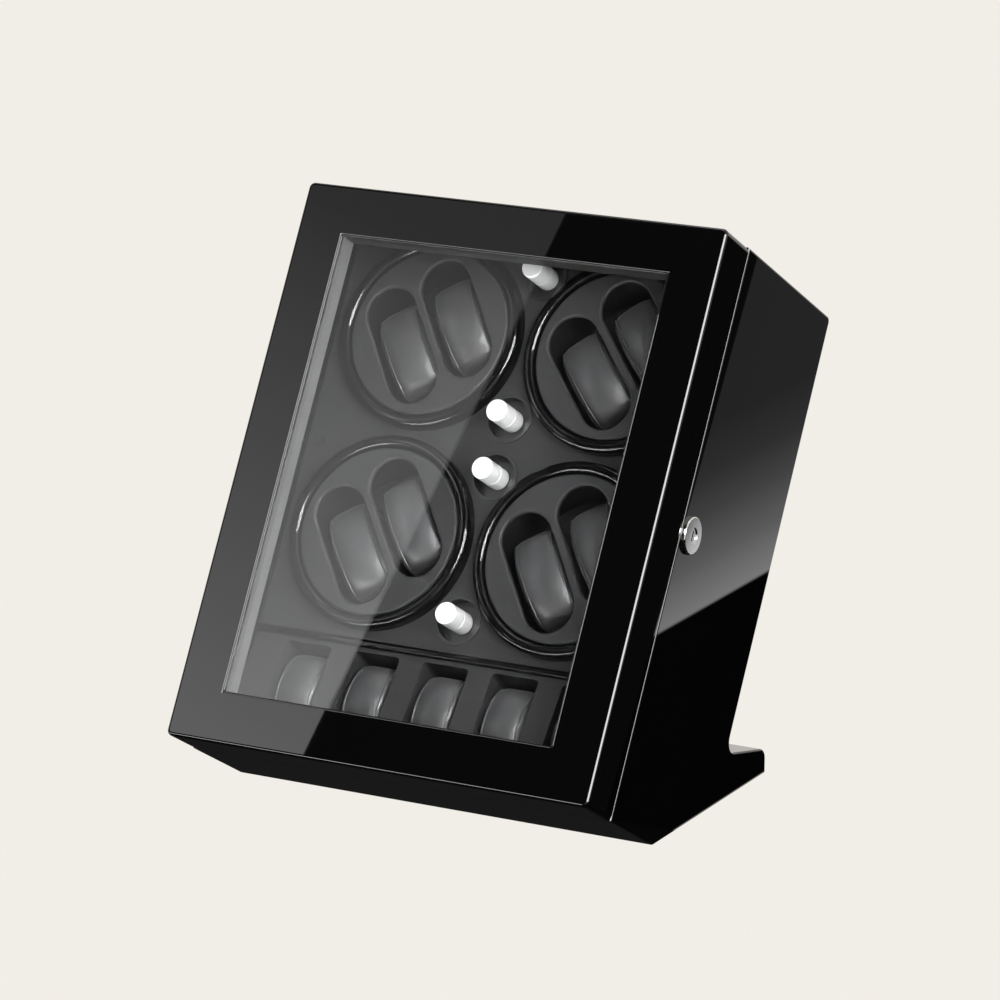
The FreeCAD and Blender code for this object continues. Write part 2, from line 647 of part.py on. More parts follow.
belts = []
for number, x, z, angle, motor_x, motor_z in ROTORS:
    belt = new_body("belt_%d" % number, x, "panel_setback", z, part=False)
    centres = ("0", "0"), (motor_x, motor_z)
    strap = new_sketch(belt, "XZ", GROOVE_FRONT + " + belt_clearance")
    for extra in ("belt_clearance", "belt_clearance + belt_thickness"):
        loop(strap, centres[0], "pulley_diameter / 2 - groove_depth + " + extra,
             centres[1], "motor_pulley_diameter / 2 - groove_depth + " + extra)
    pad(belt, strap, "pulley_width - 2 * flange_width - 2 * belt_clearance", flip=True)
    belts.append(belt)
belt_set = doc.addObject("Part::Compound", "drive_belts")
belt_set.Label = "drive_belts"
belt_set.Links = belts
sub_parts.append(belt_set)

MOTORS = [(x + " + " + motor_x, "panel_setback", z + " + " + motor_z)
          for number, x, z, angle, motor_x, motor_z in ROTORS]

plate = new_body("drive_plate")
sheet_face = rectangle(new_sketch(plate, "XZ", "panel_setback + " + PLATE_FRONT), "-" + INNER, INNER,
                       "panel_bottom", PANEL_TOP)
for (number, x, z, *rest), (motor_x, depth, motor_z) in zip(ROTORS, MOTORS):
    circle(sheet_face, x, z, "axle_diameter + 2 * (bush_clearance + bush_wall + seat_clearance)")
    circle(sheet_face, motor_x, motor_z, "shaft_hole")
pad(plate, sheet_face, "plate_thickness", flip=True)

bush = new_body("bearing_bush", part=False)
bore = "axle_diameter / 2 + bush_clearance"
polygon(new_sketch(bush, "YZ"), [
    (PLATE_FRONT, bore), (PLATE_FRONT, bore + " + bush_wall"), (PLATE_BACK, bore + " + bush_wall"),
    (PLATE_BACK, bore + " + bush_wall + bush_flange"),
    (PLATE_BACK + " + bush_flange", bore + " + bush_wall + bush_flange"),
    (PLATE_BACK + " + bush_flange", bore)])
revolve(bush, bush.Group[-1])
group("bearing_bushes", bush, [(x, "panel_setback", z) for number, x, z, *rest in ROTORS])

motor = new_body("gear_motor", part=False)
socket = "shaft_diameter / 2 + shaft_clearance"
polygon(new_sketch(motor, "YZ"), [
    (PLATE_BACK, socket), (PLATE_BACK, "motor_diameter / 2 + motor_step"),
    (PLATE_BACK + " + gearhead_length", "motor_diameter / 2 + motor_step"),
    (PLATE_BACK + " + gearhead_length", "motor_diameter / 2"),
    (PLATE_BACK + " + motor_length", "motor_diameter / 2"), (PLATE_BACK + " + motor_length", "0"),
    (PLATE_BACK + " + gearhead_length", "0"), (PLATE_BACK + " + gearhead_length", socket)])
revolve(motor, motor.Group[-1])
group("gear_motors", motor, MOTORS)

# Mode knobs, their wells and switches

FLOOR = "(well_depth - well_wall)"
NECK = "spindle_diameter / 2 + spindle_clearance"
KNOB_SPOTS = [("0", "panel_setback", z) for z in KNOBS]

well = new_body("knob_well", part=False)
polygon(new_sketch(well, "YZ"), [
    ("-rim_height", "well_diameter / 2"), ("-rim_height", WELL_OUTER + " / 2 + rim_width"),
    ("0", WELL_OUTER + " / 2 + rim_width"), ("0", WELL_OUTER + " / 2"), ("well_depth", WELL_OUTER + " / 2"),
    ("well_depth", NECK + " + switch_bush_wall + seat_clearance"),
    (FLOOR, NECK + " + switch_bush_wall + seat_clearance"), (FLOOR, "well_diameter / 2")])
revolve(well, well.Group[-1])
group("knob_wells", well, KNOB_SPOTS)

switch = new_body("rotary_switch", part=False)
box = rectangle(new_sketch(switch, "XZ", "well_depth"), "-switch_width / 2", "switch_width / 2",
                "-switch_width / 2", "switch_width / 2")
circle(box, "0", "0", "2 * (%s)" % NECK)
pad(switch, box, "switch_depth", flip=True)
collar = circle(new_sketch(switch, "XZ", FLOOR), "0", "0", "2 * (%s + switch_bush_wall)" % NECK)
circle(collar, "0", "0", "2 * (%s)" % NECK)
pad(switch, collar, "well_wall", flip=True)
group("rotary_switches", switch, KNOB_SPOTS)

for number, spot in enumerate(KNOB_SPOTS, 1):
    knob = new_body("mode_knob_%d" % number, *spot)
    groove = "knob_groove_setback - knob_proud"
    foot = FLOOR + " - knob_floor_gap"
    tip = "well_depth + switch_depth - 2"
    polygon(new_sketch(knob, "YZ"), [
        ("-knob_proud", "0"), ("-knob_proud", "knob_diameter / 2"), (groove, "knob_diameter / 2"),
        (groove, "knob_diameter / 2 - knob_groove"), (groove + " + knob_groove", "knob_diameter / 2 - knob_groove"),
        (groove + " + knob_groove", "knob_diameter / 2"), (foot, "knob_diameter / 2"),
        (foot, "spindle_diameter / 2"), (tip, "spindle_diameter / 2"), (tip, "0")])
    revolve(knob, knob.Group[-1])
    soften(knob, "knob_round", on_plane("Y", "-knob_proud"))

# Control board and power inlet

BOARD_FRONT = "(panel_setback + %s + spacer_height)" % PLATE_BACK
board = new_body("control_board")
slab = rectangle(new_sketch(board, "XZ", BOARD_FRONT), "-board_width / 2", "board_width / 2",
                 "board_bottom", "board_bottom + board_height")
pad(board, slab, "board_thickness", flip=True)

spacer = new_body("board_spacer", part=False)
pad(spacer, circle(new_sketch(spacer, "XZ"), "0", "0", "spacer_diameter"), "spacer_height", flip=True)
group("board_spacers", spacer, [
    ("%d * (board_width / 2 - spacer_inset)" % side, "panel_setback + " + PLATE_BACK,
     "board_bottom + board_height / 2 + %d * (board_height / 2 - spacer_inset)" % level)
    for side in (-1, 1) for level in (-1, 1)])

inlet = new_body("power_inlet", "door_width / 2 - inlet_inset", BACK, "inlet_height")
polygon(new_sketch(inlet, "YZ"), [
    ("-back_thickness - inlet_tail", "0"), ("-back_thickness - inlet_tail", "inlet_diameter / 2"),
    ("0", "inlet_diameter / 2"), ("0", "inlet_diameter / 2 + inlet_flange"),
    ("inlet_flange", "inlet_diameter / 2 + inlet_flange"), ("inlet_flange", "inlet_bore / 2"),
    ("inlet_flange - inlet_bore_depth", "inlet_bore / 2"), ("inlet_flange - inlet_bore_depth", "0")])
revolve(inlet, inlet.Group[-1])

# Door

OPEN_X = "(door_width / 2 - frame_border)"
OPEN_LOW = "frame_border"
OPEN_HIGH = "(door_height - frame_border)"
SEAT_X = "(door_width / 2 - frame_border + pane_lip)"
SEAT_LOW = "(frame_border - pane_lip)"
SEAT_HIGH = "(door_height - frame_border + pane_lip)"


def ring_pad(body, start, length, outer, inner):
    """Rectangular ring between an outer and an inner half width, low and high edge."""
    sketch = new_sketch(body, "XZ", start)
    for half, low, high in (outer, inner):
        rectangle(sketch, "-" + half, half, low, high)
    return pad(body, sketch, length, flip=True)


def door_corner(box):
    """Picks the four outer corners of the door."""
    deep = near(box.XMin, box.XMax) and near(box.ZMin, box.ZMax)
    return deep and near(abs(box.XMin), value(HALF))


def window_mouth(box):
    """Picks the edges round the window on the door's face."""
    inside = max(abs(box.XMin), abs(box.XMax)) < value(OPEN_X) + 0.01
    return near(box.YMax, 0) and inside


frame = new_body("door_frame")
RIM = ("(%s - skirt)" % HALF, "skirt", "(door_height - skirt)")
ring_pad(frame, "0", DOOR_REAR, (HALF, "0", "door_height"), RIM)
ring_pad(frame, "0", "bar_depth", RIM, (SEAT_X, SEAT_LOW, SEAT_HIGH))
ring_pad(frame, "0", "lip_depth", (SEAT_X, SEAT_LOW, SEAT_HIGH), (OPEN_X, OPEN_LOW, OPEN_HIGH))
soften(frame, "door_corner", door_corner)
soften(frame, "lip_chamfer", window_mouth, "Chamfer")
outside = on_plane("Y", "0")
soften(frame, "face_round", lambda box: outside(box) and max(abs(box.XMin), abs(box.XMax)) > value(OPEN_X) + 2)
for height in HINGE_HEIGHTS:
    mortise = rectangle(new_sketch(frame, "XZ", DOOR_REAR), "-" + HALF, "-%s + leaf_width" % HALF,
                        height + " - leaf_length / 2", height + " + leaf_length / 2")
    pocket(frame, mortise, "leaf_thickness", flip=True)

pane = new_body("window_pane")
glass = rectangle(new_sketch(pane, "XZ", "lip_depth"), "seat_clearance - " + SEAT_X,
                  SEAT_X + " - seat_clearance", SEAT_LOW + " + seat_clearance", SEAT_HIGH + " - seat_clearance")
pad(pane, glass, "pane_thickness", flip=True)

liner = new_body("reveal_liner")
ring_pad(liner, "lip_depth + pane_thickness", "bar_depth - lip_depth - pane_thickness",
         ("(%s - seat_clearance)" % SEAT_X, SEAT_LOW + " + seat_clearance", SEAT_HIGH + " - seat_clearance"),
         (OPEN_X, OPEN_LOW, OPEN_HIGH))

# Door hinges

AXIS_X = "(-door_width / 2 - knuckle_radius - knuckle_clearance)"
AXIS_Y = "(door_depth - door_gap / 2)"
THIRD = "leaf_length / 3"


def hinge_leaf(label, low, high, tabs):
    """Leaf with its knuckles; y runs between low and high from the hinge axis."""
    body = new_body(label, part=False)
    reach = "knuckle_radius + knuckle_clearance"
    leaf = rectangle(new_sketch(body, "XY", "-leaf_length / 2"), reach, reach + " + leaf_width", low, high)
    pad(body, leaf, "leaf_length")
    for start, length in tabs:
        tab = rectangle(new_sketch(body, "XY", start), "0", reach + " + 1", low, high)
        pad(body, tab, length)
        pad(body, circle(new_sketch(body, "XY", start), "0", "0", "2 * knuckle_radius"), length)
    eye = circle(new_sketch(body, "XY", "leaf_length / 2"), "0", "0", "pin_diameter + 2 * pin_clearance")
    pocket(body, eye, "leaf_length")
    return body


HINGES = [(AXIS_X, AXIS_Y, height) for height in HINGE_HEIGHTS]
fixed_leaf = hinge_leaf("cabinet_leaf", "door_gap / 2", "door_gap / 2 + leaf_thickness",
                        [("-leaf_length / 2", THIRD + " - knuckle_gap"),
                         (THIRD + " / 2 + knuckle_gap", THIRD + " - knuckle_gap")])
moving_leaf = hinge_leaf("door_leaf", "-door_gap / 2 - leaf_thickness", "-door_gap / 2",
                         [("-(%s) / 2" % THIRD, THIRD)])
group("hinge_leaves_cabinet", fixed_leaf, HINGES)
group("hinge_leaves_door", moving_leaf, HINGES)
pin = new_body("hinge_pin", part=False)
pad(pin, circle(new_sketch(pin, "XY"), "0", "0", "pin_diameter"), "leaf_length", middle=True)
group("hinge_pins", pin, HINGES)

# Key lock on the right side: x runs outwards from the side panel

LOCK = (HALF, "lock_setback", "lock_height")
TAIL = "(-wall - barrel_tail)"
CAM_OUT = "(-wall - barrel_tail - cam_gap)"
CAM_IN = "(-wall - barrel_tail - cam_gap - cam_thickness)"
STEM = "plug_diameter / 2 - 1.5"

housing = new_body("lock_housing", *LOCK)
plug_bore = "plug_diameter / 2 + plug_clearance"
polygon(new_sketch(housing, "XZ"), [
    (TAIL, plug_bore), (TAIL, "barrel_diameter / 2"), ("0", "barrel_diameter / 2"), ("0", "lock_diameter / 2"),
    ("lock_proud", "lock_diameter / 2"), ("lock_proud", plug_bore)])
revolve(housing, housing.Group[-1])
rim = value("lock_diameter / 2")
soften(housing, "lock_round", lambda box: near(box.XMin, value("lock_proud")) and near(box.XMax, box.XMin)
       and near(box.ZMax, rim))

nut = new_body("lock_nut", *LOCK)
hexagon = new_sketch(nut, "YZ", "-wall - nut_thickness")
polygon(hexagon, [("nut_width / sqrt(3) * cos(%d)" % turn, "nut_width / sqrt(3) * sin(%d)" % turn)
                  for turn in range(0, 360, 60)])
circle(hexagon, "0", "0", "barrel_diameter + 2 * plug_clearance")
pad(nut, hexagon, "nut_thickness")

plug = new_body("lock_plug", *LOCK)
polygon(new_sketch(plug, "XZ"), [
    (CAM_IN + " - 1", "0"), (CAM_IN + " - 1", STEM), (CAM_OUT, STEM), (CAM_OUT, "plug_diameter / 2"),
    ("lock_proud - plug_recess", "plug_diameter / 2"), ("lock_proud - plug_recess", "0")])
revolve(plug, plug.Group[-1])
slit = rectangle(new_sketch(plug, "YZ", "lock_proud - plug_recess"), "-key_slot_width / 2", "key_slot_width / 2",
                 "-key_slot_length / 2", "key_slot_length / 2")
pocket(plug, slit, "key_slot_depth")

cam = new_body("lock_cam", *LOCK)
blade = new_sketch(cam, "YZ", CAM_IN)
loop(blade, ("0", "0"), "plug_diameter / 2", ("cam_width / 2 - cam_length", "0"), "cam_width / 2")
circle(blade, "0", "0", "2 * (%s + plug_clearance)" % STEM)
pad(cam, blade, "cam_thickness")

# Keeper on the door: a strip that runs over the cam and hooks behind it

HOOK_IN = "(door_width / 2 - wall - barrel_tail - cam_gap - cam_thickness / 2 - keeper_width / 2)"
HOOK_FRONT = "(lock_setback + cam_width / 2 + keeper_gap)"
HOOK_TOP = "(lock_height + cam_length + keeper_gap)"
keeper = new_body("lock_keeper")
hook = polygon(new_sketch(keeper, "YZ", HOOK_IN), [
    (DOOR_REAR, HOOK_TOP), (HOOK_FRONT, HOOK_TOP), (HOOK_FRONT, HOOK_TOP + " - keeper_lip + keeper_thickness"),
    (HOOK_FRONT + " + keeper_thickness", HOOK_TOP + " - keeper_lip + keeper_thickness"),
    (HOOK_FRONT + " + keeper_thickness", HOOK_TOP + " + keeper_thickness"),
    (DOOR_REAR + " + keeper_thickness", HOOK_TOP + " + keeper_thickness"),
    (DOOR_REAR + " + keeper_thickness", HOOK_TOP + " + keeper_foot"), (DOOR_REAR, HOOK_TOP + " + keeper_foot")])
pad(keeper, hook, "keeper_width")

doc.recompute()
for item in doc.Objects:
    if "Invalid" in item.State or "Error" in item.State:
        raise RuntimeError("feature failed: " + item.Label)
os.makedirs("parts", exist_ok=True)
for item in sub_parts:
    if item.Shape.isNull() or not item.Shape.isValid() or not item.Shape.Solids:
        raise RuntimeError("bad shape: " + item.Label)
    item.Shape.exportStep("parts/%s.step" % item.Label)
print("sub-parts written:", len(sub_parts))
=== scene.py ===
"""Looks of the leaning watch winder box: finishes, stuffed pillows, small fittings and studio."""

import json
import logging
import math
from dataclasses import dataclass
from enum import Enum

import bpy
from mathutils import Matrix, Vector
from mathutils.bvhtree import BVHTree


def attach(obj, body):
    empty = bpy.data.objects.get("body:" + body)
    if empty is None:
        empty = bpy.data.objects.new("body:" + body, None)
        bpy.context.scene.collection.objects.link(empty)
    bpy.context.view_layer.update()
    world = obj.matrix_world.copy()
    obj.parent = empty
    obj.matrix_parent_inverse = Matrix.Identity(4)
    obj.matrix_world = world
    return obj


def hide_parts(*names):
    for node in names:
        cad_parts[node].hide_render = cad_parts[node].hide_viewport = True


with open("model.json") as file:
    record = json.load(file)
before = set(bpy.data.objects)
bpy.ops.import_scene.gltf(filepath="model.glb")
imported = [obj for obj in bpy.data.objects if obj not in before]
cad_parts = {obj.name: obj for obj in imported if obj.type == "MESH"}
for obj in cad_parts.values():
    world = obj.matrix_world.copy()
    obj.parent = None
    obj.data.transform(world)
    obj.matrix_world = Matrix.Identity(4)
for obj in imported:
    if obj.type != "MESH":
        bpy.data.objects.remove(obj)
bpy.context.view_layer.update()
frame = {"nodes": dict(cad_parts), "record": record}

logging.basicConfig(level=logging.INFO, format="%(message)s")
log = logging.getLogger("watch_winder")

Pair = tuple[float, float]
Triple = tuple[float, float, float]

MM = 0.001

# Sizes of the CAD part that give the leaning box its place, in millimetres but for the angle.
LEAN = math.radians(30)
GROUND_REACH = 107.0
BASE_HALF = 83.5
FELT = 1.5

# Depths behind the door's face, in millimetres.
PANEL_FACE = 66.0
BACK_FACE = 184.6

# Constants of the sRGB curve.
SRGB_KNEE = 0.04045
SRGB_SLOPE = 12.92
SRGB_OFFSET = 0.055
SRGB_POWER = 2.4

# What all finishes have in common: the soft cloud in the colour, the detail of the pattern, the
# swing of the roughness, and the normal's z between which painted shade fades in on faces that look
# down.
CLOUD_PER_METRE = 14.0
CLOUD_DETAIL = 2.0
CLOUD_HALF = 0.25
CELL_DETAIL = 3.0
ROUGH_SWING = 0.15
PAINTED_SHADE_FULL_Z = -0.7
PAINTED_SHADE_NONE_Z = -0.3


def lean_matrix() -> Matrix:
    """Matrix from the leaning box (x right, y inwards, z up the door, metres) to the row frame."""
    c, s = math.cos(LEAN), math.sin(LEAN)
    shift_y = (-GROUND_REACH * c - BASE_HALF) * MM
    shift_z = (GROUND_REACH * s + FELT) * MM
    return Matrix(((1, 0, 0, 0), (0, c, s, shift_y), (0, -s, c, shift_z), (0, 0, 0, 1)))


def spot(x: float, y: float, z: float) -> Matrix:
    """Matrix of a place in the leaning box.

    Args:
        x: Millimetres to the right of the middle.
        y: Millimetres behind the door's face.
        z: Millimetres up along the door.

    Returns:
        Matrix that takes a piece modelled at the origin to that place.
    """
    return lean_matrix() @ Matrix.Translation(Vector((x, y, z)) * MM)


def linear(code: str) -> tuple[float, ...]:
    """Linear colour of an sRGB hex code, with alpha 1."""
    parts = [int(code[i:i + 2], 16) / 255 for i in (1, 3, 5)]
    return tuple(part / SRGB_SLOPE if part <= SRGB_KNEE
                 else ((part + SRGB_OFFSET) / (1 + SRGB_OFFSET)) ** SRGB_POWER
                 for part in parts) + (1.0,)


def add(tree: bpy.types.NodeTree, kind: str, inputs: dict | None = None,
        **settings) -> bpy.types.Node:
    """Adds one node and sets or links its inputs.

    Args:
        tree: Node tree that gets the node.
        kind: Blender's name of the node type.
        inputs: Input name or number to a plain value or to an output socket.
        settings: Properties of the node itself.

    Returns:
        The new node.
    """
    node = tree.nodes.new(kind)
    for key, value in settings.items():
        setattr(node, key, value)
    for key, value in (inputs or {}).items():
        if isinstance(value, bpy.types.NodeSocket):
            tree.links.new(value, node.inputs[key])
        else:
            node.inputs[key].default_value = value
    return node


def reckon(tree: bpy.types.NodeTree, operation: str, first: bpy.types.NodeSocket,
           second: bpy.types.NodeSocket | float) -> bpy.types.NodeSocket:
    """Adds one Math node.

    Args:
        tree: Node tree that gets the node.
        operation: What the node does with its two values.
        first: Socket of the first value.
        second: Second value, or its socket.

    Returns:
        Output socket of the result.
    """
    return add(tree, "ShaderNodeMath", {0: first, 1: second}, operation=operation).outputs[0]


class Pattern(Enum):
    """What a surface shows close up."""

    POLISH = "faint haze of polishing"
    GRAIN = "pressed leather grain"
    NAP = "short fibres"
    MOULD = "fine moulded or cast skin"


@dataclass(frozen=True)
class Finish:
    """One real material of the box.

    Attributes:
        name: Name of the material.
        colour: Its sRGB hex code.
        roughness: Its mean roughness.
        pattern: What it shows close up.
        size_mm: Width of one cell of the pattern.
        depth_mm: Depth of the pattern, 0 for a flat one.
        spread: Share by which the colour varies from place to place.
        metallic: Share of metal.
        sheen: Weight of the sheen.
        specular: Level of the reflection.
        under: Share of the colour that is left on faces that look down, a painted shade.
    """

    name: str
    colour: str
    roughness: float
    pattern: Pattern
    size_mm: float
    depth_mm: float = 0.0
    spread: float = 0.1
    metallic: float = 0.0
    sheen: float = 0.0
    specular: float = 0.5
    under: float = 1.0

    def cells(self, tree: bpy.types.NodeTree, where: bpy.types.Node) -> bpy.types.NodeSocket:
        """Pattern in real millimetres.

        Args:
            tree: Node tree that gets the nodes.
            where: Node of the texture coordinates.

        Returns:
            Output socket of the pattern's height.
        """
        inputs = {"Vector": where.outputs["Object"], "Scale": 1 / (self.size_mm * MM)}
        if self.pattern is Pattern.GRAIN:
            return add(tree, "ShaderNodeTexVoronoi", inputs,
                       feature="SMOOTH_F1").outputs["Distance"]
        inputs["Detail"] = CELL_DETAIL
        return add(tree, "ShaderNodeTexNoise", inputs).outputs["Fac"]

    def tint(self, tree: bpy.types.NodeTree, where: bpy.types.Node) -> bpy.types.NodeSocket:
        """Colour with a soft cloud in it, and painted shade on faces that look down.

        Args:
            tree: Node tree that gets the nodes.
            where: Node of the texture coordinates.

        Returns:
            Output socket of the colour.
        """
        cloud = add(tree, "ShaderNodeTexNoise", {"Vector": where.outputs["Object"],
                                                 "Scale": CLOUD_PER_METRE, "Detail": CLOUD_DETAIL})
        ramp = add(tree, "ShaderNodeValToRGB", {"Fac": cloud.outputs["Fac"]})
        base = linear(self.colour)[:3]
        for stop, side in zip(ramp.color_ramp.elements, (-1, 1)):
            stop.position = 0.5 + CLOUD_HALF * side
            stop.color = tuple(v * (1 + side * self.spread) for v in base) + (1.0,)
        if self.under == 1.0:
            return ramp.outputs["Color"]
        # painted shade: faces that look down keep only the share under of their colour
        normal = add(tree, "ShaderNodeSeparateXYZ", {0: where.outputs["Normal"]})
        left = add(tree, "ShaderNodeMapRange",
                   {"Value": normal.outputs["Z"], "From Min": PAINTED_SHADE_FULL_Z, "From Max": PAINTED_SHADE_NONE_Z,
                    "To Min": self.under, "To Max": 1.0})
        return add(tree, "ShaderNodeVectorMath",
                   {0: ramp.outputs["Color"], "Scale": left.outputs["Result"]},
                   operation="SCALE").outputs[0]

    def build(self) -> bpy.types.Material:
        """Makes the material on Object coordinates."""
        material = bpy.data.materials.new(self.name)
        material.use_nodes = True
        tree = material.node_tree
        shader = tree.nodes["Principled BSDF"]
        for key, value in (("Metallic", self.metallic), ("Sheen Weight", self.sheen),
                           ("Specular IOR Level", self.specular)):
            shader.inputs[key].default_value = value
        where = add(tree, "ShaderNodeTexCoord")
        cells = self.cells(tree, where)
        tree.links.new(self.tint(tree, where), shader.inputs["Base Color"])
        rough = add(tree, "ShaderNodeMapRange",
                    {"Value": cells, "To Min": self.roughness * (1 - ROUGH_SWING),
                     "To Max": min(1.0, self.roughness * (1 + ROUGH_SWING))})
        tree.links.new(rough.outputs["Result"], shader.inputs["Roughness"])
        if self.depth_mm:
            bump = add(tree, "ShaderNodeBump",
                       {"Height": cells, "Strength": 1.0, "Distance": self.depth_mm * MM})
            tree.links.new(bump.outputs["Normal"], shader.inputs["Normal"])
        return material


@dataclass(frozen=True)
class Pane:
    """Clear sheet of the door's window, which lets the lamps through."""

    name: str = "acrylic_window_sheet"
    colour: str = "#fdfefe"
    index: float = 1.39

    def build(self) -> bpy.types.Material:
        """Makes clear acrylic that casts no shadow."""
        material = bpy.data.materials.new(self.name)
        material.use_nodes = True
        tree = material.node_tree
        shader = tree.nodes["Principled BSDF"]
        for key, value in (("Base Color", linear(self.colour)), ("Roughness", 0.0),
                           ("IOR", self.index), ("Transmission Weight", 1.0)):
            shader.inputs[key].default_value = value
        path = add(tree, "ShaderNodeLightPath")
        clear = add(tree, "ShaderNodeBsdfTransparent")
        mix = add(tree, "ShaderNodeMixShader",
                  {0: path.outputs["Is Shadow Ray"], 1: shader.outputs["BSDF"],
                   2: clear.outputs["BSDF"]})
        tree.links.new(mix.outputs["Shader"], tree.nodes["Material Output"].inputs["Surface"])
        return material


# Finishes by material slot; the comment says which real material it is.
FINISHES = {
    # sprayed and buffed piano lacquer on board
    "lacquer": Finish("piano_black_lacquer", "#070707", 0.012, Pattern.POLISH, 6.0, spread=0.05),
    # wool felt under the base
    "felt": Finish("black_base_felt", "#1c1c1c", 0.95, Pattern.NAP, 0.7, 0.2, sheen=0.3),
    # grey leatherette over the panel, the discs, the tray and the panel's caps
    "panel_cover": Finish("grey_leatherette", "#282829", 0.62, Pattern.GRAIN, 1.1, 0.03,
                          specular=0.2),
    # injection moulded gloss plastic
    "gloss_black": Finish("gloss_black_plastic", "#080808", 0.06, Pattern.POLISH, 4.0,
                          spread=0.05),
    # smoky moulded plastic of the knobs' wells
    "well": Finish("smoky_gloss_plastic", "#2e2e2f", 0.16, Pattern.POLISH, 4.0, spread=0.05),
    # soft leatherette over foam
    "pillow": Finish("soft_grey_leatherette", "#363637", 0.36, Pattern.GRAIN, 0.9, 0.02,
                     sheen=0.05, specular=0.6),
    # plated brass or zinc
    "chrome": Finish("chrome_plate", "#e6e6e6", 0.07, Pattern.POLISH, 3.0, spread=0.02,
                     metallic=1.0),
    # satin chrome of the knobs over the same plate as the lock, partly real; its whiter colour and
    # lower metal share are a painted highlight
    "knob": Finish("satin_chrome_painted_highlight", "#fafafa", 0.24, Pattern.POLISH, 2.0, spread=0.02,
                   metallic=0.3),
    # zinc plated steel sheet
    "steel": Finish("zinc_plated_steel", "#b4b6b8", 0.32, Pattern.MOULD, 1.5, 0.01, metallic=1.0),
    # satin foil inside the door's bars, with painted shade along its upper side, whose faces look
    # down
    "liner": Finish("satin_grey_liner", "#5c5c5c", 0.38, Pattern.MOULD, 0.8, 0.01, spread=0.04,
                    under=0.22),
    # matt ABS
    "black_plastic": Finish("black_abs", "#151515", 0.45, Pattern.MOULD, 0.6, 0.02),
    # sintered bronze bearings
    "bush_brass": Finish("sintered_bronze", "#a5793f", 0.42, Pattern.MOULD, 0.5, 0.02,
                         metallic=1.0),
    # drawn steel motor cans
    "motor_case": Finish("drawn_steel_can", "#8d9093", 0.35, Pattern.MOULD, 1.0, 0.01,
                         metallic=1.0),
    # round polyurethane belt
    "belt": Finish("polyurethane_belt", "#2a2a2a", 0.6, Pattern.MOULD, 0.8, 0.02),
    # epoxy board
    "board": Finish("green_epoxy_board", "#1d4a2c", 0.4, Pattern.MOULD, 0.9, 0.01),
}

# Nodes with a look of their own, by the start of their name.
OWN_LOOKS = {"mode_knob": "knob", "knob_wells": "well"}


class Shelf:
    """Materials of the box, each made once."""

    def __init__(self) -> None:
        """Makes every finish."""
        self.by_slot = {name: finish.build() for name, finish in FINISHES.items()}
        self.by_slot["pane"] = Pane().build()

    def dress(self, obj: bpy.types.Object, slot: str) -> None:
        """Gives an object one finish in all its slots."""
        obj.data.materials.clear()
        obj.data.materials.append(self.by_slot[slot])
        obj.material_slots[0].link = "OBJECT"
        obj.material_slots[0].material = self.by_slot[slot]

    def dress_nodes(self) -> None:
        """Dresses every CAD node with its own look or with the finish of its slot in the record."""
        for part in frame["record"]["subparts"]:
            node = frame["nodes"][part["node"]]
            finish = next((look for start, look in OWN_LOOKS.items()
                           if part["node"].startswith(start)), part["material_slot"])
            for place in node.material_slots:
                place.link = "OBJECT"
                place.material = self.by_slot[finish]
            if not node.material_slots:
                self.dress(node, finish)
            log.info("dressed %s in %s", part["node"], finish)

    def settle_pillow(self, piece: bpy.types.Object, node: str, body: str) -> None:
        """Dresses a pillow and fixes it in place of its solid.

        Args:
            piece: The pillow, at the origin.
            node: CAD node that it replaces.
            body: Body that it moves with.
        """
        self.dress(piece, "pillow")
        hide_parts(node)
        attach(piece, body)
        log.info("placed %s", piece.name)

    def settle_trim(self, piece: bpy.types.Object, body: str, slot: str) -> None:
        """Dresses a small piece of trim and fixes it to its body.

        Args:
            piece: The piece, at the origin.
            body: Body that it moves with.
            slot: Material slot of its finish.
        """
        self.dress(piece, slot)
        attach(piece, body)
        log.info("fixed %s", piece.name)


def only(obj: bpy.types.Object) -> None:
    """Makes one object the selected and active one."""
    bpy.ops.object.select_all(action="DESELECT")
    obj.select_set(True)
    bpy.context.view_layer.objects.active = obj


def apply_all(obj: bpy.types.Object) -> None:
    """Applies every modifier of an object."""
    only(obj)
    for modifier in list(obj.modifiers):
        bpy.ops.object.modifier_apply(modifier=modifier.name)


def copy_of(obj: bpy.types.Object, name: str, matrix: Matrix) -> bpy.types.Object:
    """Copies an object with its own mesh.

    Args:
        obj: Object to copy.
        name: Name of the copy.
        matrix: Place of the copy, which goes into its mesh.

    Returns:
        The copy, at the origin.
    """
    twin = bpy.data.objects.new(name, obj.data.copy())
    twin.data.name = name
    bpy.context.scene.collection.objects.link(twin)
    twin.data.transform(matrix)
    return twin


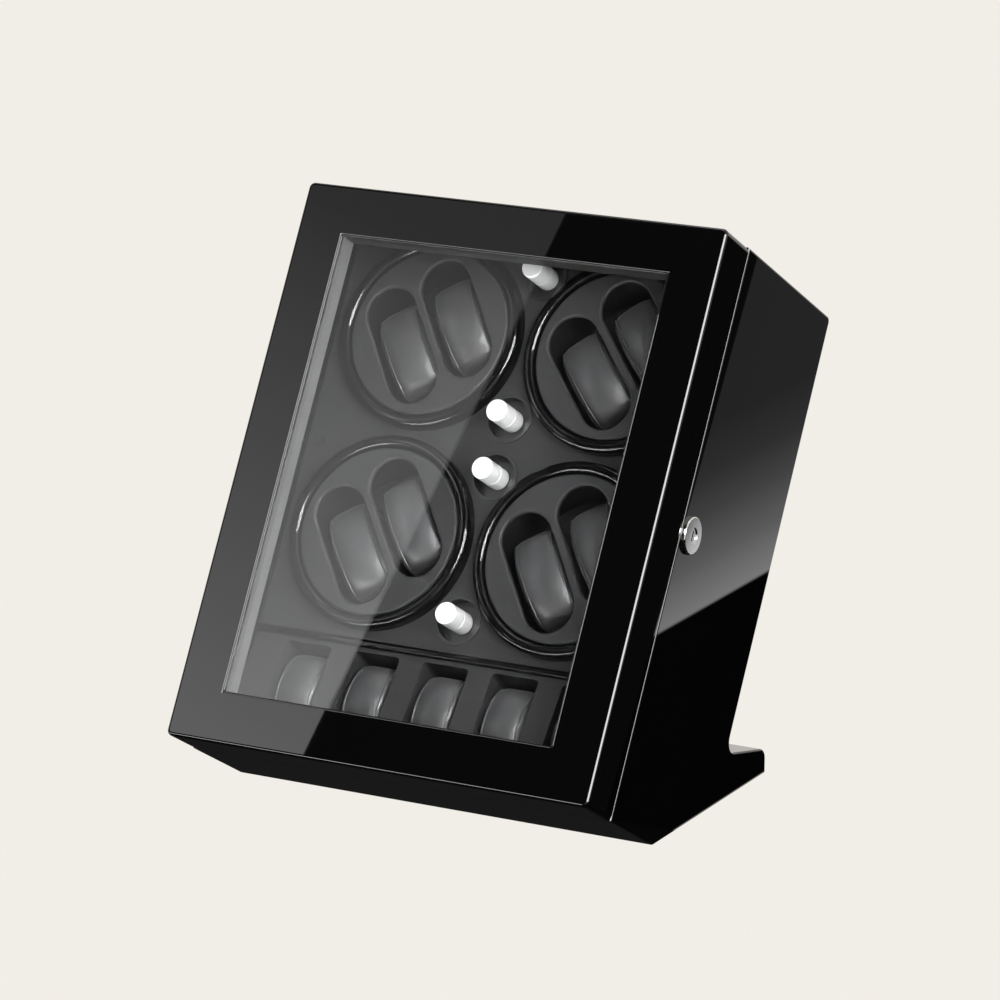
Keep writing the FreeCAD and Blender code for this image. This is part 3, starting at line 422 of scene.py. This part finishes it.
@dataclass
class Stuffed:
    """Foam pillow in a sewn cover, blown up from the shape of its CAD solid.

    Attributes:
        name: Name of the pillow.
        node: CAD node that gives its shape.
        home: Place of the pillow's own frame.
        half_width: Half its width in millimetres.
        voxel: Mesh width of the cover in millimetres.
        fuller: Stretch of its depth, measured from the rear.
        apart: Share of the half width past which a point is another pillow's.
        merge: Distance in millimetres under which points are joined.
        shrink: Scale from which the cover swells.
        pressure: Pressure of the filling.
        quality: Simulation steps in each frame.
        frames: Frames of the simulation.
        most: Furthest that a point may move from the solid, in millimetres.
        ease: Share by which each round of smoothing evens the cover.
        ease_rounds: Rounds of smoothing.
        welt: Radius of a welt in millimetres.
        seams_in: Insets of the two welts from each long edge, in millimetres.
        rays: Rays to each side of the middle that find a welt's line.
        ray_sweep: Angle of the outermost ray.
        ray_length: Distance from which the rays start, in millimetres.
        aim_depth: Depth behind the face that the rays aim at, in millimetres.
    """

    name: str
    node: str
    home: Matrix
    half_width: float
    voxel: float = 2.2
    fuller: float = 1.0
    apart: float = 1.2
    merge: float = 0.02
    shrink: float = 0.965
    pressure: float = 4.0
    quality: int = 5
    frames: int = 20
    most: float = 1.1
    ease: float = 0.4
    ease_rounds: int = 2
    welt: float = 0.7
    seams_in: Pair = (0.6, 3.2)
    rays: int = 20
    ray_sweep: float = math.radians(100)
    ray_length: float = 90.0
    aim_depth: float = 26.0

    def cover(self) -> bpy.types.Object:
        """Copy of the solid in its own frame, one pillow only, merged and remeshed."""
        source = frame["nodes"][self.node]
        piece = copy_of(source, self.name, self.home.inverted() @ source.matrix_world)
        only(piece)
        reach = self.half_width * MM * self.apart
        bpy.ops.object.mode_set(mode="EDIT")
        bpy.ops.mesh.select_all(action="DESELECT")
        bpy.ops.object.mode_set(mode="OBJECT")
        for vertex in piece.data.vertices:
            vertex.select = abs(vertex.co.x) > reach
        bpy.ops.object.mode_set(mode="EDIT")
        bpy.ops.mesh.delete(type="VERT")
        bpy.ops.mesh.select_all(action="SELECT")
        bpy.ops.mesh.remove_doubles(threshold=self.merge * MM)
        bpy.ops.object.mode_set(mode="OBJECT")
        rear = max(vertex.co.y for vertex in piece.data.vertices)
        for vertex in piece.data.vertices:
            vertex.co.y = rear + (vertex.co.y - rear) * self.fuller
        remesh = piece.modifiers.new("weave", "REMESH")
        remesh.mode = "VOXEL"
        remesh.voxel_size = self.voxel * MM
        apply_all(piece)
        return piece

    def blow(self, piece: bpy.types.Object) -> None:
        """Lets the cover swell by cloth pressure and keeps every point near the solid."""
        points = [vertex.co.copy() for vertex in piece.data.vertices]
        middle = sum(points, Vector()) / len(points)
        for vertex in piece.data.vertices:
            vertex.co = middle + (vertex.co - middle) * self.shrink
        cloth = piece.modifiers.new("fill", "CLOTH")
        cloth.settings.use_pressure = True
        cloth.settings.uniform_pressure_force = self.pressure
        cloth.settings.effector_weights.gravity = 0.0
        cloth.settings.quality = self.quality
        for step in range(1, self.frames + 1):
            bpy.context.scene.frame_set(step)
        apply_all(piece)
        bpy.context.scene.frame_set(1)
        for vertex, start in zip(piece.data.vertices, points):
            away = vertex.co - start
            if away.length > self.most * MM:
                vertex.co = start + away.normalized() * self.most * MM
        smooth = piece.modifiers.new("ease", "SMOOTH")
        smooth.factor = self.ease
        smooth.iterations = self.ease_rounds
        round_off = piece.modifiers.new("round", "SUBSURF")
        round_off.levels = round_off.render_levels = 1
        apply_all(piece)

    def seam_line(self, piece: bpy.types.Object, side: int, inset: float) -> list[Vector]:
        """Line over the face along one long edge, from end to end.

        Args:
            piece: The swollen pillow, in its own frame.
            side: 1 for the right edge, -1 for the left.
            inset: Distance from the edge in millimetres.

        Returns:
            Points on the pillow's skin.
        """
        corners = [vertex.co for vertex in piece.data.vertices]
        tree = BVHTree.FromPolygons(corners, [face.vertices for face in piece.data.polygons])
        middle = sum((corner.z for corner in corners), 0.0) / len(corners)
        face = min(corner.y for corner in corners)
        target = Vector((side * (self.half_width - inset) * MM, face + self.aim_depth * MM, middle))
        reach = self.ray_length * MM
        line = []
        for turn in range(-self.rays, self.rays + 1):
            angle = turn / self.rays * self.ray_sweep
            rim = Vector((0, -math.cos(angle) * reach, math.sin(angle) * reach))
            hit = tree.ray_cast(target + rim, -rim.normalized())[0]
            if hit:
                line.append(hit)
        return line

    def seam(self, piece: bpy.types.Object, side: int, inset: float) -> bpy.types.Object:
        """Thin sewn welt along one long edge of the face.

        Args:
            piece: The swollen pillow, in its own frame.
            side: 1 for the right edge, -1 for the left.
            inset: Distance from the edge in millimetres.

        Returns:
            The welt, as a mesh.
        """
        line = self.seam_line(piece, side, inset)
        curve = bpy.data.curves.new(self.name + "_welt", "CURVE")
        curve.dimensions = "3D"
        curve.bevel_depth = self.welt * MM
        curve.bevel_resolution = 2
        curve.use_fill_caps = True
        spline = curve.splines.new("POLY")
        spline.points.add(len(line) - 1)
        for point, where in zip(spline.points, line):
            point.co = tuple(where) + (1.0,)
        welt = bpy.data.objects.new(self.name + "_welt", curve)
        bpy.context.scene.collection.objects.link(welt)
        only(welt)
        bpy.ops.object.convert(target="MESH")
        return bpy.context.view_layer.objects.active

    def build(self) -> bpy.types.Object:
        """Makes the pillow in its own frame, with a double welt along each side."""
        piece = self.cover()
        self.blow(piece)
        welts = [self.seam(piece, side, inset) for side in (1, -1) for inset in self.seams_in]
        bpy.ops.object.select_all(action="DESELECT")
        for item in welts + [piece]:
            item.select_set(True)
        bpy.context.view_layer.objects.active = piece
        bpy.ops.object.join()
        bpy.ops.object.shade_smooth()
        log.info("sewed %s with %d points", self.name, len(piece.data.vertices))
        return piece


@dataclass
class Turntables:
    """The pillows of the four turntables.

    Attributes:
        shelf: Materials of the box.
        across: Distance of a turntable's axis from the middle, in millimetres.
        levels: Heights of the upper and lower axes up the door, in millimetres.
        angles: Slant of each turntable's slots at rest, in degrees.
        offset: Distance of a pillow from the turntable's axis, in millimetres.
        half_width: Half a pillow's width in millimetres.
    """

    shelf: Shelf
    across: float = 69.9
    levels: Pair = (306.1, 166.9)
    angles: tuple[int, ...] = (33, 41, 34, 33)
    offset: float = 21.0
    half_width: float = 16.5

    def place(self, number: int, side: int) -> Matrix:
        """Place of one pillow.

        Args:
            number: Number of the turntable, from 1.
            side: 1 for the right of its axis, -1 for the left.

        Returns:
            Matrix from the pillow's own frame to the row frame.
        """
        column = -1 if number % 2 else 1
        level = self.levels[(number - 1) // 2]
        turn = Matrix.Rotation(-math.radians(self.angles[number - 1]), 4, "Y")
        aside = Matrix.Translation((side * self.offset * MM, 0, 0))
        return spot(column * self.across, PANEL_FACE, level) @ turn @ aside

    def build(self) -> None:
        """Sews one pillow and copies it to its eight places."""
        model = Stuffed("turntable_pillow", "rotor_pillows_1", self.place(1, 1),
                        self.half_width).build()
        for number in range(1, len(self.angles) + 1):
            for side, word in ((1, "right"), (-1, "left")):
                piece = copy_of(model, f"turntable_{number}_pillow_{word}",
                                self.place(number, side))
                self.shelf.settle_pillow(piece, f"rotor_pillows_{number}", f"turntable_{number}")
        bpy.data.objects.remove(model)


@dataclass
class Storage:
    """The spare pillows in the tray.

    Attributes:
        shelf: Materials of the box.
        count: Number of pockets.
        middle: Number of the pocket on the box's middle line.
        pitch: Distance from pocket to pocket, in millimetres.
        half_width: Half a pillow's width in millimetres.
        tilt: Angle in degrees by which the pillows lean from the panel.
        tray_height: Height of their middle up the door, in millimetres.
        voxel: Mesh width of their covers in millimetres.
        fuller: Stretch of their depth over that of the solids.
    """

    shelf: Shelf
    count: int = 5
    middle: int = 3
    pitch: float = 51.6
    half_width: float = 15.5
    tilt: float = 11.0
    tray_height: float = 89.5
    voxel: float = 2.0
    fuller: float = 1.16

    def build(self) -> None:
        """Sews the middle pillow and copies it to all the pockets."""
        lean = Matrix.Rotation(-math.radians(self.tilt), 4, "X")
        home = spot(0, PANEL_FACE, self.tray_height) @ lean
        model = Stuffed("spare_pillow", f"storage_pillow_{self.middle}", home, self.half_width,
                        voxel=self.voxel, fuller=self.fuller).build()
        for number in range(1, self.count + 1):
            shift = Matrix.Translation(((number - self.middle) * self.pitch * MM, 0, 0))
            piece = copy_of(model, f"spare_pillow_{number}", shift @ home)
            self.shelf.settle_pillow(piece, f"storage_pillow_{number}", "cabinet")
        bpy.data.objects.remove(model)


@dataclass(frozen=True)
class Head:
    """Round head that faces -y, modelled from a cylinder.

    Attributes:
        name: Name of the head.
        diameter: Width in millimetres.
        rise: Height over the surface in millimetres.
        dish: Depth of the hollow in its face in millimetres.
        rim: Share of the diameter that the rim is wide.
        slope: Share of the diameter that the slope into the hollow is wide.
        edge: Share of the rise that the edge is rounded by.
        corners: Corners of the round.
        segments: Steps of the rounded edge.
        crease: Angle from which an edge stays sharp.
        front: Greatest y of a normal that looks to the front.
    """

    name: str
    diameter: float
    rise: float
    dish: float
    rim: float = 0.14
    slope: float = 0.05
    edge: float = 0.3
    corners: int = 32
    segments: int = 3
    crease: float = math.radians(40)
    front: float = -0.9

    def build(self) -> bpy.types.Object:
        """Makes the head at the origin."""
        bpy.ops.object.select_all(action="DESELECT")
        bpy.ops.mesh.primitive_cylinder_add(vertices=self.corners, radius=self.diameter / 2 * MM,
                                            depth=self.rise * MM,
                                            location=(0, -self.rise / 2 * MM, 0),
                                            rotation=(math.pi / 2, 0, 0))
        piece = bpy.context.view_layer.objects.active
        piece.name = piece.data.name = self.name
        bpy.ops.object.transform_apply(location=True, rotation=True, scale=True)
        self.pick_face(piece)
        bpy.ops.object.mode_set(mode="EDIT")
        bpy.ops.mesh.inset(thickness=self.diameter * self.rim * MM)
        bpy.ops.mesh.inset(thickness=self.diameter * self.slope * MM)
        bpy.ops.transform.translate(value=(0, self.dish * MM, 0))
        bpy.ops.object.mode_set(mode="OBJECT")
        bevel = piece.modifiers.new("edge", "BEVEL")
        bevel.width = self.rise * self.edge * MM
        bevel.segments = self.segments
        bevel.limit_method = "ANGLE"
        apply_all(piece)
        bpy.ops.object.shade_smooth_by_angle(angle=self.crease)
        return piece

    def pick_face(self, piece: bpy.types.Object) -> None:
        """Selects only the face that looks to -y."""
        bpy.ops.object.mode_set(mode="EDIT")
        bpy.ops.mesh.select_mode(type="FACE")
        bpy.ops.mesh.select_all(action="DESELECT")
        bpy.ops.object.mode_set(mode="OBJECT")
        for face in piece.data.polygons:
            face.select = face.normal.y < self.front


@dataclass
class Fittings:
    """Small caps and screws on the cabinet.

    Attributes:
        shelf: Materials of the box.
        cap: Head of a panel cap.
        cap_spots: Places of the caps across and up the door, in millimetres.
        screw: Head of a back panel screw.
        screw_across: Distance of the screws from the middle, in millimetres.
        screw_levels: Heights of the screws up the door, in millimetres.
    """

    shelf: Shelf
    cap: Head = Head("panel_cap", diameter=6.0, rise=1.2, dish=0.3)
    cap_spots: tuple[Pair, ...] = ((-135.0, 362.9), (-134.7, 223.5))
    screw: Head = Head("back_screw", diameter=6.4, rise=0.8, dish=0.5)
    screw_across: float = 132.0
    screw_levels: Triple = (70.0, 205.0, 340.0)

    def spread(self, head: Head, places: list[Matrix], slot: str) -> None:
        """Copies one head to its places on the cabinet.

        Args:
            head: Head to copy, which also gives the names.
            places: Matrix of each place.
            slot: Material slot of its finish.
        """
        model = head.build()
        for number, place in enumerate(places, 1):
            piece = copy_of(model, f"{head.name}_{number}", place)
            self.shelf.settle_trim(piece, "cabinet", slot)
        bpy.data.objects.remove(model)

    def build(self) -> None:
        """Makes two caps at the panel's left edge and six dished screw heads on the back panel."""
        self.spread(self.cap, [spot(x, PANEL_FACE, z) for x, z in self.cap_spots], "panel_cover")
        turn = Matrix.Rotation(math.pi, 4, "Z")
        self.spread(self.screw, [spot(side * self.screw_across, BACK_FACE, z) @ turn
                                 for z in self.screw_levels for side in (-1, 1)], "steel")


@dataclass
class WindowBead:
    """Polished bead round the door's window opening, with all sizes in millimetres.

    Attributes:
        shelf: Materials of the box.
        half_width: Half the width of the opening.
        low: Height of its lower edge up the door.
        high: Height of its upper edge up the door.
        radius: Radius of the bead.
        rise: How far the bead stands into the opening.
        corner: Radius of its corners.
        behind: Depth of its foremost line behind the door's face.
    """

    shelf: Shelf
    half_width: float = 121.0
    low: float = 34.0
    high: float = 350.0
    radius: float = 0.78
    rise: float = 0.68
    corner: float = 1.5
    behind: float = 0.02

    def build(self) -> None:
        """Bends a thin round bead to the opening and fixes it to the door."""
        bpy.ops.object.select_all(action="DESELECT")
        bpy.ops.mesh.primitive_plane_add(size=1.0, rotation=(math.pi / 2, 0, 0))
        bead = bpy.context.view_layer.objects.active
        bead.name = "window_bead"
        bpy.ops.object.transform_apply(location=True, rotation=True, scale=True)
        out = self.radius - self.rise
        width = 2 * (self.half_width + out) * MM
        height = (self.high - self.low + 2 * out) * MM
        bead.data.transform(Matrix.Diagonal((width, 1.0, height, 1.0)))
        bpy.ops.object.mode_set(mode="EDIT")
        bpy.ops.mesh.select_all(action="SELECT")
        bpy.ops.mesh.bevel(offset=self.corner * MM, segments=5, affect="VERTICES")
        bpy.ops.mesh.select_all(action="SELECT")
        bpy.ops.mesh.delete(type="ONLY_FACE")
        bpy.ops.object.mode_set(mode="OBJECT")
        bpy.ops.object.convert(target="CURVE")
        bead.data.bevel_depth = self.radius * MM
        bead.data.bevel_resolution = 3
        bpy.ops.object.convert(target="MESH")
        bpy.ops.object.shade_smooth()
        bead.data.name = "window_bead"
        bead.data.transform(spot(0.0, self.radius + self.behind, (self.low + self.high) / 2))
        self.shelf.settle_trim(bead, "door", "lacquer")


@dataclass(frozen=True)
class Band:
    """One stop of a card's brightness, at a share of its length."""

    share: float
    level: float


@dataclass(frozen=True)
class Card:
    """Card that only shows in reflections and through the pane, with a graded brightness.

    Attributes:
        name: Name of the card.
        matrix: Place of the card, whose face looks along z.
        size: Width and height in metres.
        bands: Brightness stops along its x or, with a quarter turn, its y.
        peak: Brightness of a stop of level 1.
        turn: Angle from x to the direction of the grading, in degrees.
    """

    name: str
    matrix: Matrix
    size: Pair
    bands: tuple[Band, ...] = (Band(0.0, 0.02), Band(1.0, 0.02))
    peak: float = 1.0
    turn: float = 0.0

    def material(self) -> bpy.types.Material:
        """Makes the glow, graded along one direction of the card."""
        material = bpy.data.materials.new(self.name)
        material.use_nodes = True
        tree = material.node_tree
        where = add(tree, "ShaderNodeTexCoord").outputs["Object"]
        turned = add(tree, "ShaderNodeMapping",
                     {"Vector": where, "Rotation": (0.0, 0.0, math.radians(self.turn))})
        axis = add(tree, "ShaderNodeSeparateXYZ", {0: turned.outputs[0]}).outputs["X"]
        reach = self.size[0] if abs(self.turn) < 45 else self.size[1]
        share = add(tree, "ShaderNodeMapRange",
                    {"Value": axis, "From Min": -reach / 2, "From Max": reach / 2})
        ramp = add(tree, "ShaderNodeValToRGB", {"Fac": share.outputs["Result"]})
        stops = ramp.color_ramp.elements
        while len(stops) < len(self.bands):
            stops.new(0.5)
        for stop, band in zip(stops, self.bands):
            stop.position = band.share
            stop.color = (band.level, band.level, band.level, 1.0)
        glow = add(tree, "ShaderNodeEmission",
                   {"Color": ramp.outputs["Color"], "Strength": self.peak})
        tree.links.new(glow.outputs[0], tree.nodes["Material Output"].inputs["Surface"])
        return material

    def build(self) -> None:
        """Makes the card and puts it on the stage."""
        bpy.ops.object.select_all(action="DESELECT")
        bpy.ops.mesh.primitive_plane_add(size=1.0)
        card = bpy.context.view_layer.objects.active
        card.name = self.name
        card.data.transform(Matrix.Diagonal((self.size[0], self.size[1], 1.0, 1.0)))
        card.matrix_world = self.matrix
        card.data.materials.append(self.material())
        card.visible_camera = card.visible_diffuse = card.visible_shadow = False
        card.visible_volume_scatter = False


@dataclass(frozen=True)
class Lamp:
    """Square soft lamp.

    Attributes:
        name: Name of the lamp.
        where: Its place in metres.
        size: Side in metres.
        watts: Power.
        aim: Point it looks at, in metres.
    """

    name: str
    where: Triple
    size: float
    watts: float
    aim: Triple = (0.0, 0.0, 0.2)

    def build(self) -> None:
        """Hangs the lamp."""
        data = bpy.data.lights.new(self.name, "AREA")
        data.size = self.size
        data.energy = self.watts
        lamp = bpy.data.objects.new(self.name, data)
        bpy.context.scene.collection.objects.link(lamp)
        lamp.location = self.where
        look = Vector(self.where) - Vector(self.aim)
        lamp.rotation_euler = look.to_track_quat("Z", "Y").to_euler()


@dataclass
class Studio:
    """Floor, cards, lamps and camera, with all lengths in metres.

    Attributes:
        paper: Colour of the background as it is seen.
        bounce: Colour of the floor as it lights the box.
        world_light: Strength of the light from all around.
        floor_size: Side of the floor.
        shadow_keep: Share of the floor's shading that stays visible.
        eye: Place of the camera.
        right: Direction of the picture's right.
        back: Direction from the box to the camera.
        lens: Focal length in millimetres.
        sensor: Width of the sensor in millimetres.
        far_clip: Distance past which the camera sees nothing.
        card_middle: Middle of the black flag in front of the door.
        card_right: Its direction of x.
        card_up: Its direction of y.
        card_distance: Distance of the foot's flag and the edge card from the origin.
        on_floor: Height of the cards that lie on the floor.
        lamps: The two lamps.
    """

    paper: str = "#f4f1ea"
    bounce: str = "#7d7a74"
    world_light: float = 0.3
    floor_size: float = 24.0
    shadow_keep: float = 0.03
    eye: Triple = (1.5177, -2.8043, 1.0699)
    right: Triple = (0.87918, 0.47649, 0.0)
    back: Triple = (0.45936, -0.84758, 0.26569)
    lens: float = 180.25
    sensor: float = 36.0
    far_clip: float = 50.0
    card_middle: Triple = (-0.9182, -1.3894, 1.4218)
    card_right: Triple = (-0.8185, 0.5745, 0.0)
    card_up: Triple = (0.3453, 0.4920, 0.7992)
    card_distance: float = 2.2
    on_floor: float = 0.001
    lamps: tuple[Lamp, ...] = (Lamp("key", (1.6, -1.7, 1.3), size=1.0, watts=50.0),
                               Lamp("top", (-0.3, 0.4, 2.4), size=1.2, watts=8.0))

    def camera(self) -> None:
        """Sets the camera to the photograph's view."""
        data = bpy.data.cameras.new("photo_camera")
        data.lens = self.lens
        data.sensor_width = self.sensor
        data.clip_end = self.far_clip
        camera = bpy.data.objects.new("photo_camera", data)
        bpy.context.scene.collection.objects.link(camera)
        right, back = Vector(self.right).normalized(), Vector(self.back).normalized()
        turn = Matrix((right, back.cross(right), back)).transposed().to_4x4()
        camera.matrix_world = Matrix.Translation(self.eye) @ turn
        bpy.context.scene.camera = camera

    def paper_tree(self, tree: bpy.types.NodeTree, shaded: bpy.types.NodeSocket,
                   keep: float) -> bpy.types.NodeSocket:
        """Shader of the paper's plain colour, seen directly, mirrored and through the pane.

        Args:
            tree: Node tree that gets the nodes.
            shaded: Shader that lights the box.
            keep: Share of shading that stays visible.

        Returns:
            Output socket of the mixed shader.
        """
        path = add(tree, "ShaderNodeLightPath").outputs
        direct = reckon(tree, "LESS_THAN", path["Diffuse Depth"], 0.5)
        through = reckon(tree, "MULTIPLY", path["Is Transmission Ray"], direct)
        seen = reckon(tree, "MAXIMUM", path["Is Camera Ray"], path["Is Glossy Ray"])
        seen = reckon(tree, "MAXIMUM", seen, through)
        share = reckon(tree, "MULTIPLY", seen, 1 - keep)
        is_world = shaded.node.bl_idname == "ShaderNodeBackground"
        plain = add(tree, "ShaderNodeBackground" if is_world else "ShaderNodeEmission",
                    {"Color": linear(self.paper), "Strength": 1.0})
        return add(tree, "ShaderNodeMixShader",
                   {0: share, 1: shaded, 2: plain.outputs[0]}).outputs[0]

    def world(self) -> None:
        """Soft even light, seen as pale paper."""
        world = bpy.data.worlds.new("studio")
        world.use_nodes = True
        bpy.context.scene.world = world
        tree = world.node_tree
        light = tree.nodes["Background"]
        light.inputs["Color"].default_value = (1.0, 1.0, 1.0, 1.0)
        light.inputs["Strength"].default_value = self.world_light
        socket = self.paper_tree(tree, light.outputs[0], 0.0)
        tree.links.new(socket, tree.nodes["World Output"].inputs["Surface"])

    def floor(self) -> None:
        """Wide pale floor that keeps a little of the shadow."""
        bpy.ops.object.select_all(action="DESELECT")
        bpy.ops.mesh.primitive_plane_add(size=self.floor_size)
        floor = bpy.context.view_layer.objects.active
        floor.name = "floor"
        material = bpy.data.materials.new("matt_paper")
        material.use_nodes = True
        tree = material.node_tree
        shader = tree.nodes["Principled BSDF"]
        shader.inputs["Base Color"].default_value = linear(self.bounce)
        shader.inputs["Roughness"].default_value = 1.0
        shader.inputs["Specular IOR Level"].default_value = 0.0
        socket = self.paper_tree(tree, shader.outputs[0], self.shadow_keep)
        tree.links.new(socket, tree.nodes["Material Output"].inputs["Surface"])
        floor.data.materials.append(material)

    def door_cards(self) -> list[Card]:
        """Black flag that fills the door's reflection, and the graded card before its left part."""
        right, up = Vector(self.card_right), Vector(self.card_up)
        face = right.cross(up)
        stand = Matrix((right, up, face)).transposed().to_4x4()
        middle = Vector(self.card_middle)
        flag_gap, edge_shift, edge_tilt = 0.02, 0.033, math.atan2(0.055, 0.604)
        size = (0.6, 1.3)
        flag = Matrix.Translation(middle - flag_gap * face) @ stand
        edge = Matrix.Translation(middle + right * edge_shift) @ stand
        lit = edge @ Matrix.Rotation(-edge_tilt, 4, "Z") @ Matrix.Translation((size[0] / 2, 0, 0))
        graded = (Band(0.0, 1.0), Band(0.24, 0.95), Band(0.42, 0.6), Band(0.66, 0.22),
                  Band(1.0, 0.15))
        return [Card("black_flag", flag, (4.4, 4.4)),
                Card("graded_card", lit, size, graded, peak=2.7, turn=-90.0)]

    def front_cards(self) -> list[Card]:
        """Flag that keeps the underside black, and a bright strip before it for the lower edges."""
        under = Matrix.Translation((0.0, -0.19, self.on_floor))
        strip = Matrix.Translation((-0.2, -0.58, self.on_floor))
        return [Card("under_flag", under, (0.9, 0.28)),
                Card("front_strip", strip, (0.8, 0.5), (Band(0.0, 1.0), Band(1.0, 1.0)), peak=9.0)]

    def edge_cards(self) -> list[Card]:
        """Flag behind the box for the foot, and a bright strip for the rounded upright edges."""
        behind = Vector((-0.459, 0.848, 0.266)).normalized()
        foot = Matrix.Translation(behind * self.card_distance)
        foot = foot @ behind.to_track_quat("Z", "Y").to_matrix().to_4x4()
        toward = Vector((0.75, -0.45, 0.48)).normalized()
        sweep = Vector((0.683, 0.632, -0.367))
        sweep = (sweep - sweep.dot(toward) * toward).normalized()
        stand = Matrix((sweep, toward.cross(sweep), toward)).transposed().to_4x4()
        shift = Vector((0.15, -0.08, 0.22))
        strip = Matrix.Translation(toward * self.card_distance + shift) @ stand
        return [Card("foot_flag", foot, (1.4, 0.7)),
                Card("edge_card", strip, (2.1, 0.8), (Band(0.0, 1.0), Band(1.0, 1.0)), peak=19.0)]

    def side_cards(self) -> list[Card]:
        """Graded floor card for the right side, and a flag that keeps the door's side dark."""
        along = Vector((0.378, 0.926, 0.0))
        flag_size = (1.0, 3.4)
        flag_edge = Vector((0.53, 0.74, 2 * self.on_floor))
        aside = Vector((along.y, -along.x, 0.0)) * (flag_size[0] / 2)
        turn = math.atan2(along.y, along.x) - math.pi / 2
        flag = Matrix.Translation(flag_edge + aside) @ Matrix.Rotation(turn, 4, "Z")
        low, far, depth, middle_y = 0.158, 1.158, 2.2, 0.65
        place = Matrix.Translation(((low + far) / 2, middle_y, self.on_floor))
        graded = (Band(0.0, 0.0), Band(0.2045, 0.0), Band(0.206, 1.0), Band(0.262, 0.55),
                  Band(0.318, 0.28), Band(0.37, 0.145), Band(0.44, 0.09), Band(1.0, 0.09))
        return [Card("door_flag", flag, flag_size, (Band(0.0, 0.01), Band(1.0, 0.01))),
                Card("floor_card", place, (far - low, depth), graded, peak=1.45)]

    def build(self) -> None:
        """Sets up the whole studio."""
        bpy.context.scene.view_settings.view_transform = "Standard"
        self.camera()
        self.world()
        self.floor()
        cards = self.door_cards() + self.front_cards() + self.edge_cards() + self.side_cards()
        for item in [*cards, *self.lamps]:
            item.build()


def main() -> None:
    """Dresses the box."""
    shelf = Shelf()
    shelf.dress_nodes()
    Turntables(shelf).build()
    Storage(shelf).build()
    Fittings(shelf).build()
    WindowBead(shelf).build()
    Studio().build()


if __name__ == "__main__":
    main()
